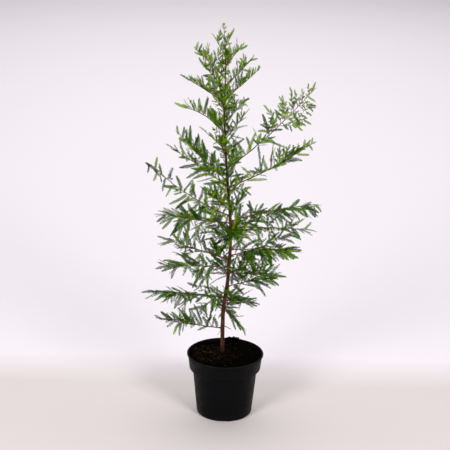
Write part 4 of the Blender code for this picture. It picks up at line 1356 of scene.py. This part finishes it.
# %% Grow every limb
def grow_limb(limb):
    """Every shoot of a limb: those of the solids, and between them the finer ones."""
    chance = limb.chance
    shoots, more_lift, fine_begin, habit_size = HABITS.get(limb.number, USUAL_HABIT)
    FINE.seed(SEED * 5000 + limb.number)
    high = min(1.0, max(0.0, (limb.height - LIFT_FROM) / (LIFT_TO - LIFT_FROM)))
    base_lift = LIFT_LOW + (LIFT_HIGH - LIFT_LOW) * high + more_lift
    full_size = LEAST_SIZE + (1 - LEAST_SIZE) * min(1, limb.reach / FULL_SIZE_REACH)
    end = limb.wood_end
    roll = chance.uniform(-TIP_ROLL_SCATTER, TIP_ROLL_SCATTER)
    direction, facing = shoot_from(limb.along(end), 1, 0, 0, roll)
    grow_spray(wandering(limb, end), direction, facing, TIP_SPRAY_LENGTH * limb.tip_scale, 1)
    begin = limb.bough_end + FOLIAGE_START
    count = max(2, round((end - begin) * limb.length / SHOOT_STEP))
    for k in range(count):
        share = (k + 0.5) / count
        t = begin + (end - begin) * share
        middle = SPREAD_AT_ROOT + (SPREAD_AT_TIP - SPREAD_AT_ROOT) * share
        spread = middle + chance.uniform(-SPREAD_SCATTER, SPREAD_SCATTER)
        lift = base_lift + chance.uniform(-LIFT_SCATTER, LIFT_SCATTER)
        roll = chance.uniform(-ROLL_SCATTER, ROLL_SCATTER)
        size = chance.uniform(*SIZE_SCATTER)
        side_sign = 1 if k % 2 else -1
        direction, facing = shoot_from(limb.along(t), side_sign, spread, lift, roll)
        length = SPRAY_LENGTH * full_size * size * fade(share) * habit_size
        if limb.reach >= FAN_LEAST_REACH and share < FAN_LAST_SHARE and k % FAN_EVERY == 1:
            length = limb.length * FAN_SHARE * (FAN_TAPER_FROM - share)
            length = min(FAN_GREATEST, length) * size * habit_size
            grow_side_twig(wandering(limb, t), direction, facing, length)
        elif limb.height > TUFTED_FROM and FINE.random() < TUFTED_SHARE:
            grow_side_twig(wandering(limb, t), direction, facing, length)
        else:
            grow_spray(wandering(limb, t), direction, facing, length, share)
        if share < fine_begin:
            continue
        step = (end - begin) / count
        for part in range(1, shoots + 1):
            side_sign = -side_sign
            place = min(t + step * part / (shoots + 1), end)
            as_twig = limb.reach >= TWIG_LEAST_REACH and share < FAN_LAST_SHARE and k % 2 and part == 1
            grow_between(limb, place, share, side_sign, middle, full_size, as_twig)


def front_way(turn, lean):
    """A direction by its turn as seen from the front and its lean away from the viewer, in degrees."""
    turn, lean = math.radians(turn), math.radians(lean)
    return Vector((math.cos(turn) * math.cos(lean), math.sin(lean), math.sin(turn) * math.cos(lean)))


def placed(shoots, rolls):
    """The root, direction, face, length and share of the way of each shoot in a list."""
    for number, *rows in shoots:
        for percent, turn, lean, millimetres in rows:
            direction = front_way(turn, lean)
            facing = rolled(front_way(turn + 90, 0), direction, *rolls)
            root = wandering(limbs[number - 1], percent / 100)
            yield root, direction, facing, millimetres / 1000, percent / 100


for limb in limbs:
    grow_limb(limb)
for root, direction, facing, length, share in placed(CLEAR_SPRAYS, CLEAR_SPRAY_ROLLS):
    grow_spray(root, direction, facing, length, share)
for root, direction, facing, length, share in placed(CLEAR_TWIGS, CLEAR_TWIG_ROLLS):
    grow_side_twig(root, direction, facing, length, CLEAR_TWIG_WIDTH)
print(sum(len(rows) for rows in needle_rows.values()), "sprays on the limbs")

# %% [markdown]
# The leader ends in a bare stem as thin as a match, with a tuft of needles at the very top and five
# small sprays below it.

# %% The leader's tip
# Height, bearing, climb and length of each spray.
TIP_SPRAYS = (
    (1.4435, 250, 74, 0.009),
    (1.4420, 10, 58, 0.009),
    (1.4410, 130, 60, 0.010),
    (1.4330, 195, 40, 0.013),
    (1.4310, 15, 46, 0.012),
    (1.4180, 290, 40, 0.014),
    (1.4060, 165, 48, 0.017),
    (1.3980, 350, 50, 0.016),
)
LEADER_OVERLAP = 0.004
LEADER_END = TREE_TOP - 0.006
LEADER_TIP_RADIUS = 0.0007
LEADER_RINGS = 9
LEADER_SIDES = 8
TRUNK_SPRAY_ROLL = 60
TRUNK_SPRAY_SEAT = 0.6

leader_heights = np.linspace(TRUNK_END - LEADER_OVERLAP, LEADER_END, LEADER_RINGS)
leader_radii = np.linspace(trunk_radius(TRUNK_END), LEADER_TIP_RADIUS, LEADER_RINGS)
twigs.append(tube([trunk_centre(height) for height in leader_heights], leader_radii, LEADER_SIDES))


def grow_from_trunk(height, outward, climb, length):
    """A spray that stands on the trunk itself and points outward at an angle of climb."""
    direction = outward * math.cos(climb) + Vector((0, 0, math.sin(climb)))
    facing = Vector((0, 0, math.cos(climb))) - outward * math.sin(climb)
    facing = rolled(facing, direction, -TRUNK_SPRAY_ROLL, TRUNK_SPRAY_ROLL)
    root = trunk_centre(height) + outward * trunk_radius(height) * TRUNK_SPRAY_SEAT
    grow_spray(root, direction, facing, length, 0.5)


def level_way(bearing):
    """The level direction at a bearing in degrees."""
    return Vector((math.cos(math.radians(bearing)), math.sin(math.radians(bearing)), 0))


FINE.seed(SEED)
for height, bearing, climb, length in TIP_SPRAYS:
    grow_from_trunk(height, level_way(bearing), math.radians(climb), length)

# %% [markdown]
# Short sprays also grow straight from the trunk, most of them in the upper half, where they hide it.
# Each follows the last by the golden angle, as leaves do on a stem.

# %% Sprays on the trunk
TRUNK_SPRAYS = 54
TRUNK_SPRAY_HEIGHTS = (0.50, 1.20)
TRUNK_SPRAY_CROWDING = 0.62
TRUNK_SPRAY_LENGTH = (0.024, 0.050)
TRUNK_SPRAY_CLIMB = (20, 62)
GOLDEN_ANGLE = 137.5
# Height, bearing, climb and length of a few longer ones, most of them right of the trunk.
LONG_TRUNK_SPRAYS = (
    (0.905, 185, 55, 0.046),
    (0.912, 350, 62, 0.078),
    (0.934, 20, 56, 0.080),
    (0.950, 340, 34, 0.070),
    (0.966, 338, 50, 0.076),
    (0.984, 8, 64, 0.084),
    (1.002, 345, 28, 0.074),
    (1.012, 172, 60, 0.040),
    (1.022, 350, 58, 0.076),
    (1.036, 5, -42, 0.082),
    (1.050, 15, 62, 0.062),
    (1.060, 350, 35, 0.084),
    (1.062, 352, -22, 0.066),
    (1.082, 345, 62, 0.056),
    (1.104, 10, 64, 0.050),
    (1.120, 350, 60, 0.044),
)

for k in range(TRUNK_SPRAYS):
    low, high = TRUNK_SPRAY_HEIGHTS
    height = low + (high - low) * ((k + 0.5) / TRUNK_SPRAYS) ** TRUNK_SPRAY_CROWDING
    climb = math.radians(FINE.uniform(*TRUNK_SPRAY_CLIMB))
    grow_from_trunk(height, level_way(GOLDEN_ANGLE * k), climb, FINE.uniform(*TRUNK_SPRAY_LENGTH))
for height, bearing, climb, length in LONG_TRUNK_SPRAYS:
    grow_from_trunk(height, level_way(bearing), math.radians(climb), length)
print(sum(len(rows) for rows in needle_rows.values()), "sprays in all")

# %% [markdown]
# Low on the trunk there are a few dead ends: two buds on the left, a short stub on the right where a
# limb broke off, and a bare twig that hangs to the left.

# %% Stubs and buds
# Height, bearing, reach, climb and radius of each.
STUBS = (
    (0.392, 190, 0.006, 0.003, 0.0016),
    (0.368, 176, 0.005, 0.001, 0.0015),
    (0.333, 345, 0.026, -0.010, 0.0014),
    (0.322, 222, 0.020, -0.020, 0.0007),
)
STUB_SEAT = 0.7
STUB_SIDES = 7
# Rings along a stub, as shares of its reach, and their radii as shares of its own.
STUB_RINGS = (0, 0.25, 0.5, 0.75, 1, 1.05)
STUB_TAPER = np.array((1.3, 1.1, 1, 0.95, 0.9, 0.5))

for height, bearing, reach, climb, radius in STUBS:
    outward = level_way(bearing)
    start = trunk_centre(height) + outward * trunk_radius(height) * STUB_SEAT
    rings = [start + outward * reach * s + Vector((0, 0, climb * s)) for s in STUB_RINGS]
    twigs.append(tube(rings, radius * STUB_TAPER, STUB_SIDES))

# %% [markdown]
# ## Needle and twig materials
#
# The needles are thin, soft and matt with a faint waxy sheen, so each tone is one plain green with a
# medium roughness. The stalk of a spray is green-brown while it is young, and the twigs that carry the
# sprays have turned to tan bark.

# %% Join needles, stalks and twigs
NEEDLE_IOR = 1.42
NEEDLE_ROUGHNESS = 0.6
NEEDLE_SPECULAR = 0.02
STALK_GREEN = "#5f6b33"
STALK_ROUGHNESS = 0.55
TONE_COLOURS = {
    "fresh": "#9cc400",
    "bright": "#6ca400",
    "leaf": "#458200",
    "deep": "#285500",
    "grey": "#42681a",
}
foliage = [f"foliage_{k + 1:02d}" for k in range(len(limbs) + 1)]
for tone in TONES:
    leaf = new_material(
        f"soft_needles_{tone}", TONE_COLOURS[tone], NEEDLE_ROUGHNESS, NEEDLE_IOR, NEEDLE_SPECULAR
    )[0]
    piece = mesh_of_triangles(f"needles_{tone}", *needles_of(np.vstack(needle_rows[tone])), leaf)
    dress(piece, "needles", *foliage)
stalk_skin = new_material("green_stalks", STALK_GREEN, STALK_ROUGHNESS, NEEDLE_IOR)[0]
stalk_piece = mesh_of_triangles("spray_stalks", *joined(stalks), stalk_skin)
dress(stalk_piece, "needles", *foliage)
twig_piece = mesh_of_triangles("side_twigs", *joined(twigs), twig_bark)
twig_piece.data.shade_smooth()
dress(twig_piece, "bark", *foliage)

# %% [markdown]
# ## Studio
#
# The photographer stood the pot on a pale surface that a brighter sheet joins behind it. A wide floor
# is enough, since the camera looks down on it everywhere in the picture, and its colour changes at a
# line behind the pot. Two panels in front, left and right, cast the two soft shadows that fall behind
# the pot, a large one above the sheet brightens it, and a faint sky fills the rest.

# %% Floor and light
FLOOR_SIZE = 60
PAPER_IOR = 1.45
PAPER_ROUGHNESS = 0.9
PAPER_SPECULAR = 0.1
NEAR_COLOUR = "#e0d6d6"
BACKDROP_COLOUR = "#f6eff5"
BACKDROP_START = 0.22
BACKDROP_END = 0.50
SKY_COLOUR = "#f4f1f6"
SKY_STRENGTH = 0.05
# Place, width, depth and power of each panel.
PANELS = (
    ((-1.9, -2.9, 2.3), 1.2, 1.2, 88),
    ((1.9, -2.9, 2.3), 1.2, 1.2, 88),
    ((0.0, 4.7, 3.6), 7.5, 9.5, 325),
)
PANEL_AIM = Vector((0, 0, 0.6))

bpy.ops.object.select_all(action="DESELECT")
bpy.ops.mesh.primitive_plane_add(size=FLOOR_SIZE)
floor = bpy.context.object
floor.name = "studio_floor"
paper, tree, shader, place = new_material(
    "matt_studio_paper", NEAR_COLOUR, PAPER_ROUGHNESS, PAPER_IOR, PAPER_SPECULAR
)
depth_of = add_node(tree, "SeparateXYZ", (), {0: place}).outputs["Y"]
backdrop = range_of(tree, depth_of, BACKDROP_START, BACKDROP_END)
tree.links.new(mix_of(tree, backdrop, NEAR_COLOUR, BACKDROP_COLOUR), shader.inputs["Base Color"])
floor.data.materials.append(paper)
for panel_place, width, depth, power in PANELS:
    bpy.ops.object.light_add(type="AREA", location=panel_place)
    panel = bpy.context.object
    panel.data.shape = "RECTANGLE"
    panel.data.size = width
    panel.data.size_y = depth
    panel.data.energy = power
    aim = PANEL_AIM - Vector(panel_place) if panel_place[1] < 0 else Vector((0, 0, -1))
    panel.rotation_euler = aim.to_track_quat("-Z", "Y").to_euler()
    panel.visible_camera = False
world = bpy.data.worlds.new("pale_studio")
world.use_nodes = True
sky = world.node_tree.nodes["Background"]
sky.inputs["Color"].default_value = linear(SKY_COLOUR)
sky.inputs["Strength"].default_value = SKY_STRENGTH
bpy.context.scene.world = world
bpy.context.scene.view_settings.view_transform = "Standard"
print(len(PANELS), "panels and a faint sky")
